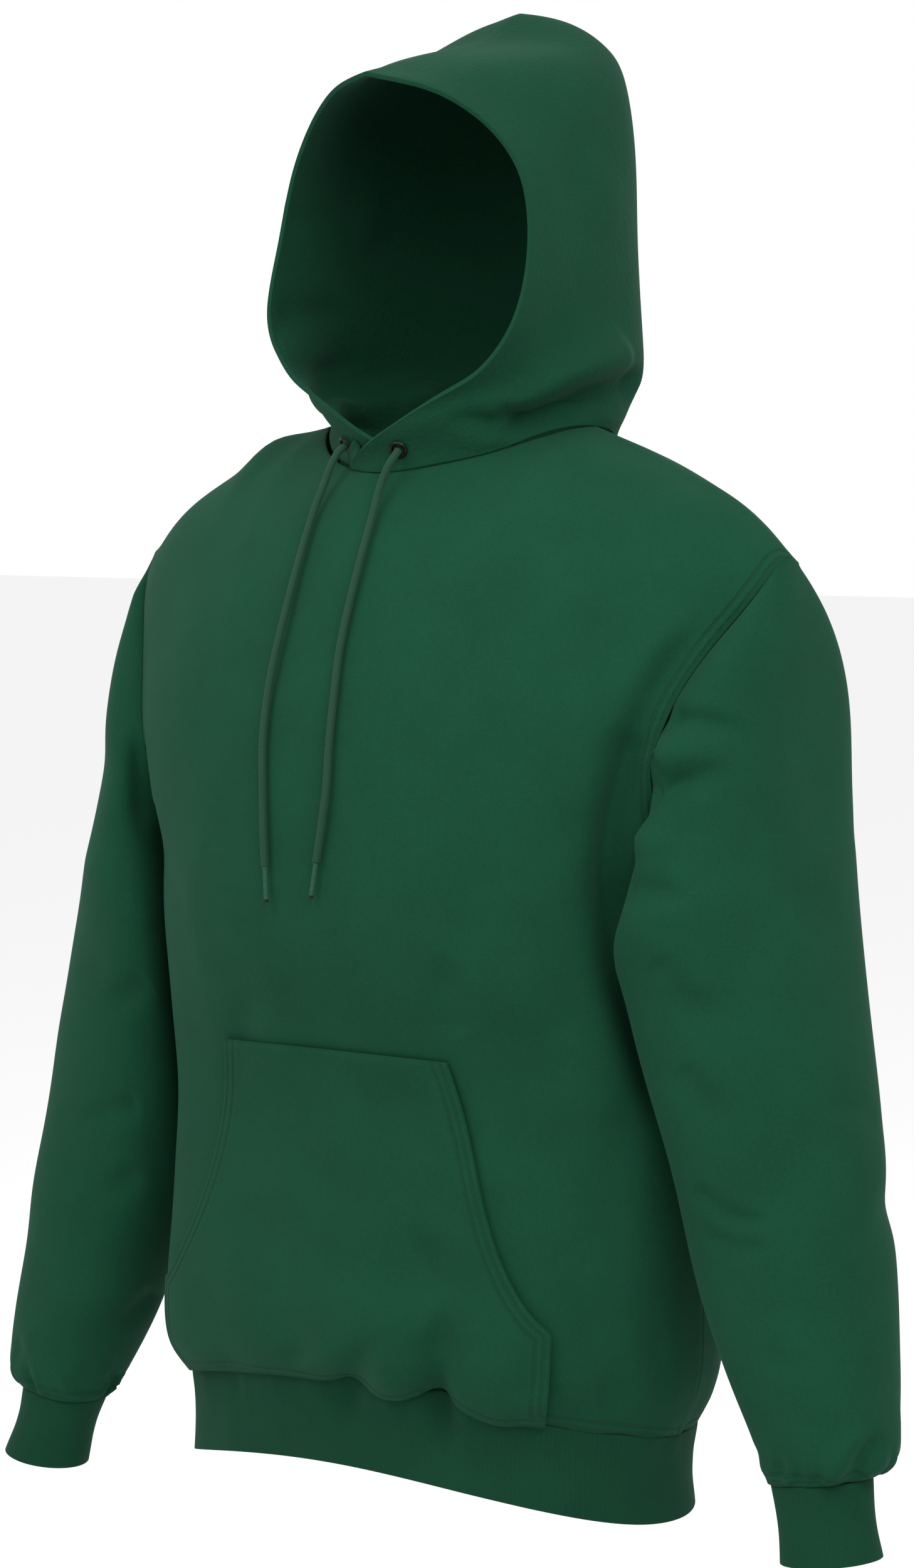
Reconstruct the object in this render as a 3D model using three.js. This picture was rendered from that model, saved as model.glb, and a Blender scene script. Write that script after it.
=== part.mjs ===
// A pullover hoodie with its hood up, filled out as if worn, every piece its own cloth wall.
// Millimetres, +Z up, the garment's front towards -Y, the wearer's left towards +X.
// The origin lies between the two high shoulder points, where the shoulders carry the garment.
import * as THREE from "three";

// Driving dimensions
const BODY_CLOTH = 2.2; // brushed fleece
const RIB_CLOTH = 2.8; // doubled rib knit of the cuffs and the waistband
const HOOD_CLOTH = 3.0; // the hood is two layers of fleece
const SEAM_GAP = 0.4; // between two pieces that are sewn together
const BAND_HEIGHT = 57; // waistband
const CUFF_HEIGHT = 50;
const POCKET_TOP = 91; // half-width of the pocket's top edge
const POCKET_BOTTOM = 156; // half-width of the pocket's lower edge
const POCKET_HEIGHT = 217;
const POCKET_SIDE = 58; // height of its sewn side, below the slanted hand opening
const POCKET_HOLLOW = 17; // how far each hand opening curves in from a straight line
const POCKET_GAP = 1.9; // between it and the front
const CORD_DIAMETER = 5;
const CORD_TIP_LENGTH = 23;
const CORD_TIP_DIAMETER = 3;
const EYELET_OUTER = 6.2; // radius
const EYELET_BORE = 3.4; // radius
const DEGREE = Math.PI / 180;

// The torso's level sections from the waistband seam up to the underarm, and what lies between them
// half: half-width, front and back: depths from the section's centre, square: how far its corners fill out
const TORSO_SECTIONS = [
  { z: -652, half: 193, front: 123, back: 102, square: 0.04 },
  { z: -641, half: 203, front: 134, back: 110, square: 0.04 },
  { z: -625, half: 208, front: 139, back: 115, square: 0.04 },
  { z: -595, half: 210, front: 138, back: 117, square: 0.04 },
  { z: -555, half: 210, front: 129, back: 118, square: 0.04 },
  { z: -515, half: 210, front: 121, back: 118, square: 0.04 },
  { z: -475, half: 210, front: 116, back: 119, square: 0.04 },
  { z: -435, half: 209, front: 119, back: 121, square: 0.04 },
  { z: -400, half: 208, front: 130, back: 124, square: 0.04 },
  { z: -365, half: 207, front: 143, back: 128, square: 0.03 },
  { z: -332, half: 205, front: 152, back: 132, square: 0.03 },
  { z: -300, half: 204, front: 155, back: 136, square: 0.03 },
];
const UNDERARM_Z = -300;
const BACK_ROUND = 0.88; // how full the upper back is: 1 is a quarter of an ellipse

// The yoke, from the underarm (turn 0) over the chest or back to the shoulder seam (turn 90)
// edge: the armhole edge's distance from the middle, arc: the angle of the section that the panel covers
const FRONT_YOKE = [
  { turn: 0, edge: 204, arc: 90, centre: 0 },
  { turn: 10, edge: 207, arc: 71, centre: 1 },
  { turn: 20, edge: 211, arc: 63, centre: 3 },
  { turn: 30, edge: 220, arc: 64, centre: 6 },
  { turn: 42, edge: 236, arc: 68, centre: 10 },
  { turn: 56, edge: 252, arc: 71, centre: 14 },
  { turn: 72, edge: 259, arc: 70, centre: 18 },
  { turn: 90, edge: 261, arc: 68, centre: 20 },
];
const BACK_YOKE = [
  { turn: 0, edge: 204, arc: 90, centre: 0 },
  { turn: 10, edge: 208, arc: 74, centre: 1 },
  { turn: 20, edge: 214, arc: 66, centre: 3 },
  { turn: 30, edge: 222, arc: 65, centre: 6 },
  { turn: 42, edge: 236, arc: 67, centre: 10 },
  { turn: 56, edge: 250, arc: 69, centre: 14 },
  { turn: 72, edge: 258, arc: 69, centre: 18 },
  { turn: 90, edge: 261, arc: 68, centre: 20 },
];

// Height of the shoulder line over its distance from the middle; inside the neck it is only a guide
const SHOULDER_LINE = [
  { x: 0, z: 30 },
  { x: 35, z: 20 },
  { x: 70, z: 6 },
  { x: 108, z: 2 },
  { x: 150, z: -13 },
  { x: 190, z: -31 },
  { x: 225, z: -48 },
  { x: 261, z: -81 },
];

// The neckline is an oval seen from above
// pinch: how far its front is drawn to a point
const NECK = { half: 110, centre: 26, front: 101, back: 72, pinch: 1.55 };

// Hem: the waistband hangs lower at the sides than at the middle of the front
const HEM_RISE = { front: 34, back: 15 };

const cloth = (colour) =>
  new THREE.MeshStandardMaterial({ color: colour, roughness: 0.95, metalness: 0 });
const FLEECE = cloth(0x27513c);
const RIB = cloth(0x224a36);
const CORD = cloth(0x2a5740);
const METAL = new THREE.MeshStandardMaterial({ color: 0x1b1714, roughness: 0.4, metalness: 0.9 });

const clamp = (value, low, high) => Math.min(high, Math.max(low, value));
const mix = (a, b, share) => a + (b - a) * share;
const smooth = (share) => {
  const s = clamp(share, 0, 1);
  return s * s * (3 - 2 * s);
};
const bump = (distance, width) => Math.exp(-((distance / width) ** 2));

// Reads a column of a table at a key between its rows, on a smooth curve through them
function read(table, key, at, column) {
  const last = table.length - 1;
  const x = clamp(at, table[0][key], table[last][key]);
  let i = 0;
  while (i < last - 1 && x > table[i + 1][key]) i += 1;
  const slope = (k) => {
    const low = Math.max(k - 1, 0);
    const high = Math.min(k + 1, last);
    return (table[high][column] - table[low][column]) / (table[high][key] - table[low][key]);
  };
  const step = table[i + 1][key] - table[i][key];
  const t = (x - table[i][key]) / step;
  return (
    table[i][column] * (1 + 2 * t) * (1 - t) ** 2 +
    slope(i) * step * t * (1 - t) ** 2 +
    table[i + 1][column] * t * t * (3 - 2 * t) +
    slope(i + 1) * step * t * t * (t - 1)
  );
}

// The torso's surface. side: -1 front, 1 back. s: -1 to 1 across. level: 0 at the waistband seam,
// 1 at the underarm, 2 at the shoulder seam
function torso(side, s, level) {
  const depthColumn = side < 0 ? "front" : "back";
  if (level <= 1) {
    const z = mix(seamHeight(side, s), UNDERARM_Z, level);
    const section = mix(TORSO_SECTIONS[0].z, UNDERARM_Z, level);
    const angle = s * 90 * DEGREE;
    const full = 1 + read(TORSO_SECTIONS, "z", section, "square") * Math.sin(2 * angle) ** 2;
    const half = read(TORSO_SECTIONS, "z", section, "half");
    const depth = read(TORSO_SECTIONS, "z", section, depthColumn);
    return new THREE.Vector3(
      half * full * Math.sin(angle),
      side * depth * full * Math.cos(angle),
      z,
    );
  }
  const yoke = side < 0 ? FRONT_YOKE : BACK_YOKE;
  const turn = Math.min(level - 1, 1) * 90;
  const arc = read(yoke, "turn", turn, "arc") * DEGREE;
  const angle = s * arc;
  const square = TORSO_SECTIONS[TORSO_SECTIONS.length - 1].square;
  const fullness = (a) => 1 + square * Math.sin(2 * a) ** 2;
  const reach = read(yoke, "turn", turn, "edge") / (Math.sin(arc) * fullness(arc));
  const x = reach * fullness(angle) * Math.sin(angle);
  const depth = TORSO_SECTIONS[TORSO_SECTIONS.length - 1][depthColumn];
  const top = read(SHOULDER_LINE, "x", Math.abs(x), "z");
  const rise = Math.max(Math.cos(turn * DEGREE), 0) ** (side < 0 ? 1 : BACK_ROUND);
  return new THREE.Vector3(
    x,
    read(yoke, "turn", turn, "centre") +
      side * depth * fullness(angle) * Math.cos(angle) * rise,
    mix(UNDERARM_Z, top, Math.sin(turn * DEGREE)),
  );
}

// Height of the waistband seam round the body
function seamHeight(side, s) {
  const rise = side < 0 ? HEM_RISE.front : HEM_RISE.back;
  return TORSO_SECTIONS[0].z + rise * Math.cos(s * 90 * DEGREE) ** 2;
}

// The neckline's shape seen from above: under 1 inside, over 1 outside
function neckMeasure(p, outward = 0) {
  const forward = p.y < NECK.centre;
  const depth = (forward ? NECK.front : NECK.back) + outward;
  const power = forward ? NECK.pinch : 2;
  const across = Math.abs(p.x) / (NECK.half + outward);
  return across ** power + (Math.abs(p.y - NECK.centre) / depth) ** power;
}

// The level at which a column of the front or back meets the neckline, or 2 at the shoulder seam
function topLevel(side, s) {
  const inside = (level) => neckMeasure(torso(side, s, level)) < 1;
  if (!inside(2)) return 2;
  let low = 1;
  let high = 2;
  for (let i = 0; i < 40; i += 1) {
    const middle = (low + high) / 2;
    if (inside(middle)) high = middle;
    else low = middle;
  }
  return low;
}

// The neckline as a closed run of points, with its angle from the middle of the front
const NECKLINE = (() => {
  const points = [];
  const steps = 60;
  for (const side of [-1, 1])
    for (let i = 0; i <= steps; i += 1) {
      const s = (i / steps) * 0.6;
      const level = topLevel(side, s);
      if (level > 1.999) continue;
      const p = torso(side, s, level);
      points.push({ angle: neckAngle(p), z: p.z });
    }
  points.sort((a, b) => a.angle - b.angle);
  return points;
})();

// Angle of a place on the neckline from the middle of the front, seen from its centre
function neckAngle(p) {
  return Math.atan2(Math.abs(p.x), -(p.y - NECK.centre));
}

// A point of the neckline at an angle, or outside it by so many millimetres
function neckPoint(angle, outward = 0) {
  const ray = new THREE.Vector3(Math.sin(angle), -Math.cos(angle), 0);
  const unit = new THREE.Vector3(ray.x, NECK.centre + ray.y, 0);
  const power = Math.cos(angle) > 0 ? NECK.pinch : 2;
  const reach = neckMeasure(unit, outward) ** (-1 / power);
  const size = Math.abs(angle);
  let i = 0;
  while (i < NECKLINE.length - 2 && size > NECKLINE[i + 1].angle) i += 1;
  const [before, after] = [NECKLINE[i], NECKLINE[i + 1]];
  const share = clamp((size - before.angle) / (after.angle - before.angle), 0, 1);
  return new THREE.Vector3(
    reach * ray.x,
    NECK.centre + reach * ray.y,
    mix(before.z, after.z, share),
  );
}

// The outward normal of a surface given as a function of two shares
function normalOf(surface, u, v, facing) {
  const step = 1e-3;
  const across = surface(u + step, v).sub(surface(u - step, v));
  const along = surface(u, v + step).sub(surface(u, v - step));
  return across.cross(along).normalize().multiplyScalar(facing);
}

// A closed wall of even thickness from a grid of outer points and their normals.
// round: the grid's columns close on themselves, as on a tube
function wallGeometry(outer, normals, thickness, round, facing) {
  const rows = outer.length;
  const columns = outer[0].length;
  const count = rows * columns;
  const positions = [];
  const push = (p) => positions.push(p.x, p.y, p.z);
  outer.forEach((row) => row.forEach(push));
  outer.forEach((row, i) =>
    row.forEach((p, j) => push(p.clone().addScaledVector(normals[i][j], -thickness))),
  );
  const faces = [];
  const quad = (a, b, c, d) =>
    facing > 0 ? faces.push(a, b, c, a, c, d) : faces.push(a, c, b, a, d, c);
  const at = (i, j) => i * columns + (j % columns);
  const spans = round ? columns : columns - 1;
  for (let i = 0; i < rows - 1; i += 1)
    for (let j = 0; j < spans; j += 1) {
      quad(at(i, j), at(i, j + 1), at(i + 1, j + 1), at(i + 1, j));
      quad(
        count + at(i, j),
        count + at(i + 1, j),
        count + at(i + 1, j + 1),
        count + at(i, j + 1),
      );
    }
  for (let j = 0; j < spans; j += 1) {
    quad(at(0, j), count + at(0, j), count + at(0, j + 1), at(0, j + 1));
    const i = rows - 1;
    quad(at(i, j), at(i, j + 1), count + at(i, j + 1), count + at(i, j));
  }
  if (!round)
    for (let i = 0; i < rows - 1; i += 1) {
      quad(at(i, 0), at(i + 1, 0), count + at(i + 1, 0), count + at(i, 0));
      const j = columns - 1;
      quad(at(i, j), count + at(i, j), count + at(i + 1, j), at(i + 1, j));
    }
  const geometry = new THREE.BufferGeometry();
  geometry.setAttribute("position", new THREE.Float32BufferAttribute(positions, 3));
  geometry.setIndex(faces);
  geometry.computeVertexNormals();
  return geometry;
}

// A cloth wall on a surface, given at shares across (u) and along (v). turned: changes a normal,
// given its row and column, so that walls which meet end in matching faces
function clothWall(name, surface, us, vs, options) {
  const { thickness, material, round = false, facing = 1, turned = (normal) => normal } = options;
  const outer = vs.map((v) => us.map((u) => surface(u, v)));
  const normals = vs.map((v, i) =>
    us.map((u, j) => turned(normalOf(surface, u, v, facing), i, j, u)),
  );
  const mesh = new THREE.Mesh(wallGeometry(outer, normals, thickness, round, facing), material);
  mesh.name = name;
  return mesh;
}

const shares = (count, low = 0, high = 1) =>
  Array.from({ length: count + 1 }, (_, i) => mix(low, high, i / count));

// Front and back of the body

// Soft folds pressed into a surface: each runs between two places given in shares of the panel
// deep: positive outward, wide: half-width in millimetres
const FRONT_FOLDS = [
  { s0: 0.86, v0: 0.62, s1: 0.62, v1: 0.3, deep: -4, wide: 16 },
  { s0: -0.9, v0: 0.6, s1: -0.7, v1: 0.28, deep: -4, wide: 16 },
  { s0: 0.34, v0: 0.02, s1: 0.3, v1: 0.14, deep: -7, wide: 12 },
  { s0: 0.1, v0: 0.03, s1: 0.12, v1: 0.12, deep: 6, wide: 26 },
  { s0: -0.3, v0: 0.02, s1: -0.34, v1: 0.1, deep: -4, wide: 14 },
];
const BACK_FOLDS = [
  { s0: 0.8, v0: 0.62, s1: 0.5, v1: 0.3, deep: -5, wide: 18 },
  { s0: -0.8, v0: 0.6, s1: -0.46, v1: 0.34, deep: -5, wide: 18 },
  { s0: 0.3, v0: 0.02, s1: 0.22, v1: 0.16, deep: -5, wide: 16 },
  { s0: -0.36, v0: 0.02, s1: -0.3, v1: 0.14, deep: -5, wide: 14 },
];
const PANEL = { width: 400, height: 640 }; // for turning shares of a panel into millimetres

function foldDepth(folds, s, v, size) {
  return folds.reduce((sum, f) => {
    const ax = (f.s0 * size.width) / 2;
    const ay = f.v0 * size.height;
    const bx = (f.s1 * size.width) / 2 - ax;
    const by = f.v1 * size.height - ay;
    const px = (s * size.width) / 2 - ax;
    const py = v * size.height - ay;
    const share = (px * bx + py * by) / (bx * bx + by * by);
    const near = clamp(share, 0, 1);
    const away = Math.hypot(px - bx * near, py - by * near);
    return sum + f.deep * bump(away, f.wide) * Math.sin(Math.PI * mix(0.12, 0.88, near));
  }, 0);
}

const UNDERARM_SHARE = 0.55; // share of a panel's rows that lie below the underarm
const ARMHOLE_STEPS = 10; // from the underarm to the shoulder seam

// The torso level at a share round the armhole (0 underarm, 0.25 front, 0.5 shoulder, 0.75 back)
function armholeLevel(round) {
  return 1 + Math.asin((1 - Math.cos(round * 2 * Math.PI)) / 2) / (90 * DEGREE);
}

function panelLevel(side, s, v) {
  if (v <= UNDERARM_SHARE) return v / UNDERARM_SHARE;
  const t = (v - UNDERARM_SHARE) / (1 - UNDERARM_SHARE);
  return 1 + t * (1 - t) + (topLevel(side, clamp(s, -1, 1)) - 1) * t * t;
}

// A body panel's outer surface, at -1 to 1 across and 0 to 1 up, with its folds
function bodySurface(side) {
  const plain = (s, v) => torso(side, s, panelLevel(side, s, v));
  const folds = side < 0 ? FRONT_FOLDS : BACK_FOLDS;
  return (s, v) => {
    const calm = smooth((1 - Math.abs(s)) / 0.12) * smooth((1 - v) / 0.1) * smooth(v / 0.02);
    const deep = foldDepth(folds, s, v, PANEL) * calm;
    const p = plain(s, v);
    if (Math.abs(deep) < 0.01) return p;
    return p.addScaledVector(normalOf(plain, s, v, -side), deep);
  };
}

// The share across at which the shoulder seam meets the neckline
const NECK_SHARE = (() => {
  let low = 0;
  let high = 1;
  for (let i = 0; i < 40; i += 1) {
    const middle = (low + high) / 2;
    if (torso(-1, middle, 2).x < NECK.half) low = middle;
    else high = middle;
  }
  return high;
})();

// Columns of a body panel between its two side edges, close together at the ends of the neckline
const PANEL_COLUMNS = (() => {
  const beside = shares(5, NECK_SHARE + 0.002, 1).slice(0, 5);
  const under = shares(8, -NECK_SHARE + 0.02, NECK_SHARE - 0.02);
  return [...beside.map((s) => -s).reverse(), ...under, ...beside];
})();

function bodyPanel(name, side) {
  const edge = 1 - SEAM_GAP / 2 / 230;
  const us = [-edge, ...PANEL_COLUMNS, edge];
  const yoke = shares(ARMHOLE_STEPS, 0, 0.5).map((r) => (armholeLevel(r) - 1) * 0.9995);
  const vs = [
    ...shares(11, 0.0003, UNDERARM_SHARE),
    ...yoke.slice(1).map((t) => mix(UNDERARM_SHARE, 1, t)),
  ];
  return clothWall(name, bodySurface(side), us, vs, {
    thickness: BODY_CLOTH,
    material: FLEECE.clone(),
    facing: -side,
  });
}

// Sleeves

// Rings of the sleeve from the armhole to the cuff seam, in the wearer's left arm's place
// x, y, z: the ring's middle, rx, ry, rz: from there to its outer side, fore: half-depth front to back
const SLEEVE_RINGS = [
  { v: 0, x: 232, y: 8, z: -192, rx: 30, ry: 10, rz: 106, fore: 78 },
  { v: 0.08, x: 233, y: 4, z: -214, rx: 39, ry: 24, rz: 96, fore: 80 },
  { v: 0.16, x: 234, y: 1, z: -249, rx: 44, ry: 33, rz: 75, fore: 81 },
  { v: 0.26, x: 236, y: -4, z: -297, rx: 51, ry: 34, rz: 42, fore: 80 },
  { v: 0.4, x: 251, y: -8, z: -370, rx: 60, ry: 19, rz: 22, fore: 72 },
  { v: 0.56, x: 273, y: -10, z: -455, rx: 60, ry: 10, rz: 12, fore: 62 },
  { v: 0.74, x: 296, y: -18, z: -548, rx: 57, ry: 7, rz: 4, fore: 56 },
  { v: 0.88, x: 318, y: -27, z: -618, rx: 50, ry: 2, rz: 0, fore: 46 },
  { v: 0.95, x: 327, y: -32, z: -645, rx: 44, ry: 2, rz: 2, fore: 39 },
  { v: 1, x: 324, y: -36, z: -655, rx: 33, ry: 2, rz: 4, fore: 30 },
];
const SLEEVE_SQUARE = 0.06; // how far the corners of its rings fill out
const BODY_CLEARANCE = 3; // kept between a sleeve and the body it lies against

// The two arms do not hang alike: shift of each arm's cuff seam, fading out towards the shoulder
const ARM_SHIFT = {
  left: new THREE.Vector3(0, 0, 0),
  right: new THREE.Vector3(-12, 0, -27),
};

// Folds of the sleeve: round is the place round it (0 next to the body, 0.25 front, 0.5 outer side)
const SLEEVE_FOLDS = [
  { r0: 0.2, v0: 0.1, r1: 0.36, v1: 0.22, deep: -6, wide: 11 },
  { r0: 0.14, v0: 0.24, r1: 0.34, v1: 0.3, deep: 5, wide: 14 },
  { r0: 0.12, v0: 0.36, r1: 0.34, v1: 0.42, deep: -5, wide: 12 },
  { r0: 0.16, v0: 0.62, r1: 0.42, v1: 0.56, deep: -4, wide: 14 },
  { r0: 0.18, v0: 0.7, r1: 0.44, v1: 0.68, deep: 3, wide: 14 },
  { r0: 0.3, v0: 0.84, r1: 0.42, v1: 0.98, deep: -5, wide: 8 },
  { r0: 0.12, v0: 0.86, r1: 0.08, v1: 0.98, deep: -4, wide: 8 },
  { r0: 0.6, v0: 0.86, r1: 0.62, v1: 0.98, deep: -4, wide: 8 },
  { r0: 0.82, v0: 0.3, r1: 0.66, v1: 0.38, deep: -5, wide: 14 },
  { r0: 0.8, v0: 0.58, r1: 0.6, v1: 0.66, deep: -4, wide: 14 },
  { r0: 0.84, v0: 0.88, r1: 0.86, v1: 0.98, deep: -4, wide: 8 },
];
const SLEEVE_SIZE = { width: 840, height: 560 }; // its width is twice the girth, for foldDepth

// The armhole's edge on the body, at a share round it, moved off the edge by the seam's gap
function armholePoint(round) {
  const r = ((round % 1) + 1) % 1;
  const side = r <= 0.5 ? -1 : 1;
  const level = armholeLevel(r);
  const edge = torso(side, 1, level);
  const along = edge.clone().sub(torso(side, 0.998, level)).normalize();
  return edge.addScaledVector(along, SEAM_GAP * 1.2);
}

// The middle of the sleeve at a share along it, and its outer side and depth from there
function sleeveRing(v, shift) {
  const value = (column) => read(SLEEVE_RINGS, "v", v, column);
  const fade = smooth((v - 0.2) / 0.8);
  return {
    middle: new THREE.Vector3(value("x"), value("y"), value("z")).addScaledVector(shift, fade),
    reach: new THREE.Vector3(value("rx"), value("ry"), value("rz")),
    fore: value("fore"),
  };
}

function sleevePoint(round, v, shift) {
  const { middle, reach, fore } = sleeveRing(v, shift);
  const angle = round * 2 * Math.PI;
  const full = 1 + SLEEVE_SQUARE * Math.sin(2 * angle) ** 2;
  const p = middle
    .clone()
    .addScaledVector(reach, -Math.cos(angle) * full)
    .add(new THREE.Vector3(0, -fore * Math.sin(angle) * full, 0));
  const hold = clamp(1 - v / 0.16, 0, 1) ** 2;
  if (hold > 0) p.lerp(armholePoint(round), hold);
  return p;
}

// Moves a point out of the body's side, to the clearance from it
function clearOfBody(p, clearance) {
  if (p.z > UNDERARM_Z + 40 || p.z < TORSO_SECTIONS[0].z - BAND_HEIGHT) return p;
  const z = clamp(p.z, TORSO_SECTIONS[0].z, UNDERARM_Z);
  const half = read(TORSO_SECTIONS, "z", z, "half") + clearance;
  const depth = read(TORSO_SECTIONS, "z", z, p.y < 0 ? "front" : "back") + clearance;
  const angle = Math.atan2(p.x / half, Math.abs(p.y) / depth);
  const full = 1 + read(TORSO_SECTIONS, "z", z, "square") * Math.sin(2 * angle) ** 2;
  const measure = Math.hypot(p.x / half, p.y / depth) / full;
  if (measure >= 1) return p;
  const ease = smooth((UNDERARM_Z + 40 - p.z) / 40);
  const push = mix(1, 1 / measure, ease);
  return new THREE.Vector3(p.x * push, p.y * push, p.z);
}

// The sleeve's surface with its folds, kept clear of the body's side
function sleeveSurface(shift) {
  const plain = (a, b) => sleevePoint(a, b, shift);
  const folds = SLEEVE_FOLDS.map((f) => ({ ...f, s0: f.r0, s1: f.r1 }));
  return (round, v) => {
    const calm = smooth((v - 0.02) / 0.06) * smooth((1.005 - v) / 0.02);
    const r = ((round % 1) + 1) % 1;
    const deep = foldDepth(folds, r, v, SLEEVE_SIZE) * calm;
    const p = plain(round, v);
    if (Math.abs(deep) > 0.01) p.addScaledVector(normalOf(plain, round, v, -1), deep);
    if (v < 0.02) return p;
    return clearOfBody(p, mix(SEAM_GAP, BODY_CLEARANCE, smooth(v / 0.06)));
  };
}

const flipped = (p) => new THREE.Vector3(-p.x, p.y, p.z);
const mirrored = (surface) => (u, v) => flipped(surface(u, v));

// The body's outward normal at the armhole, on the wearer's left
function armholeNormal(round) {
  const r = ((round % 1) + 1) % 1;
  const side = r <= 0.5 ? -1 : 1;
  const level = Math.min(armholeLevel(r), 1.99);
  const ofBody = normalOf((s, l) => torso(side, s, l), 0.998, level, -side);
  const p = armholePoint(round);
  const ofOpening = new THREE.Vector3(0, p.y - SLEEVE_RINGS[0].y, p.z - SLEEVE_RINGS[0].z);
  const under = smooth((0.22 - Math.min(r, 1 - r)) / 0.12);
  return ofBody.lerp(ofOpening.normalize(), under).normalize();
}

// The outward direction of the wrist seam, in its own plane, on the wearer's left
function wristNormal(round) {
  const { reach, fore } = sleeveRing(1, ARM_SHIFT.left);
  const angle = round * 2 * Math.PI;
  return reach
    .clone()
    .multiplyScalar(-Math.cos(angle) / reach.lengthSq())
    .add(new THREE.Vector3(0, -Math.sin(angle) / fore, 0))
    .normalize();
}

function sleeve(name, side) {
  const us = shares(2 * ARMHOLE_STEPS).slice(1);
  const vs = [...shares(9, 0, 0.3), ...shares(14, 0.3, 1 - 0.0006).slice(1)];
  const placed = sleeveSurface(side > 0 ? ARM_SHIFT.left : ARM_SHIFT.right);
  const surface = side > 0 ? placed : mirrored(placed);
  const turned = (normal, i, j, u) => {
    const under = smooth((0.16 - Math.min(u, 1 - u)) / 0.08);
    if (i === 1) return normal.lerp(normalOf(surface, u, vs[2], -side), under).normalize();
    if (i > 1 && i < vs.length - 1) return normal;
    const end = i === 0 ? armholeNormal(u) : wristNormal(u);
    const turnedEnd = side > 0 ? end : flipped(end);
    if (i > 0) return turnedEnd;
    return turnedEnd.addScaledVector(normal, smooth(Math.abs(u - 0.5) / 0.15)).normalize();
  };
  return clothWall(name, surface, us, vs, {
    thickness: BODY_CLOTH,
    material: FLEECE.clone(),
    round: true,
    facing: -side,
    turned,
  });
}

// Cuffs continue the sleeve's last ring down the forearm
const FOREARM = new THREE.Vector3(0.24, -0.14, -0.96).normalize();

function cuffSurface(shift) {
  const { middle, reach, fore } = sleeveRing(1, shift);
  return (round, v) => {
    const angle = round * 2 * Math.PI;
    const waist = 0.99 - 0.05 * Math.sin(Math.PI * v);
    return middle
      .clone()
      .addScaledVector(FOREARM, SEAM_GAP + CUFF_HEIGHT * v)
      .addScaledVector(reach, -Math.cos(angle) * waist)
      .add(new THREE.Vector3(0, -fore * Math.sin(angle) * waist, 0));
  };
}

function cuff(name, side) {
  const count = 2 * ARMHOLE_STEPS;
  const us = shares(count).slice(0, count);
  const placed = cuffSurface(side > 0 ? ARM_SHIFT.left : ARM_SHIFT.right);
  const turned = (normal, i, j, u) => (side > 0 ? wristNormal(u) : flipped(wristNormal(u)));
  return clothWall(name, side > 0 ? placed : mirrored(placed), us, shares(4), {
    thickness: RIB_CLOTH,
    material: RIB.clone(),
    round: true,
    facing: -side,
    turned,
  });
}

// Waistband: a ring below the body, at a share round it (0 the wearer's left, then the front)
function bandSurface(round, v) {
  const turn = (((round % 1) + 1) % 1) * 2 * Math.PI;
  const side = Math.sin(turn) >= 0 ? -1 : 1;
  const s = Math.asin(clamp(Math.cos(turn), -1, 1)) / (90 * DEGREE);
  const seam = torso(side, s, 0);
  const tuck = 1 - 0.012 * Math.sin(Math.PI * clamp(v, 0, 1)) - 0.01 * v;
  return new THREE.Vector3(seam.x * tuck, seam.y * tuck, seam.z - SEAM_GAP - BAND_HEIGHT * v);
}

function waistband() {
  const front = PANEL_COLUMNS.map((s) => (1 - s) / 4).reverse();
  const back = PANEL_COLUMNS.map((s) => (3 + s) / 4);
  return clothWall("waistband", bandSurface, [0, ...front, 0.5, ...back], shares(5), {
    thickness: RIB_CLOTH,
    material: RIB.clone(),
    round: true,
    facing: 1,
  });
}

// Pocket: lies on the front's own surface, moved out
const pocketEdge = (rise) => {
  const slant = clamp((rise - POCKET_SIDE) / (POCKET_HEIGHT - POCKET_SIDE), 0, 1);
  const hollow = POCKET_HOLLOW * Math.sin(Math.PI * slant ** 0.65);
  return mix(POCKET_BOTTOM, POCKET_TOP, slant) - hollow;
};

function pocketSurface(s, rise) {
  const front = bodySurface(-1);
  const seam = seamHeight(-1, 0);
  const v = (rise / (UNDERARM_Z - seam)) * UNDERARM_SHARE;
  const half = read(TORSO_SECTIONS, "z", seam + rise, "half");
  const share = Math.asin(clamp((s * pocketEdge(rise)) / (half * 1.02), -1, 1)) / (90 * DEGREE);
  const p = front(share, v);
  const lift = POCKET_GAP + BODY_CLOTH;
  return p.addScaledVector(normalOf(front, share, v, 1), lift);
}

function pocket() {
  const vs = [0.8, 14, 28, 43, POCKET_SIDE, 65, 76, 92, 112, 136, 162, 190, POCKET_HEIGHT];
  return clothWall("pocket", pocketSurface, shares(14, -1, 1), vs, {
    thickness: BODY_CLOTH,
    material: FLEECE.clone(),
    facing: 1,
  });
}

// Hood

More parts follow.
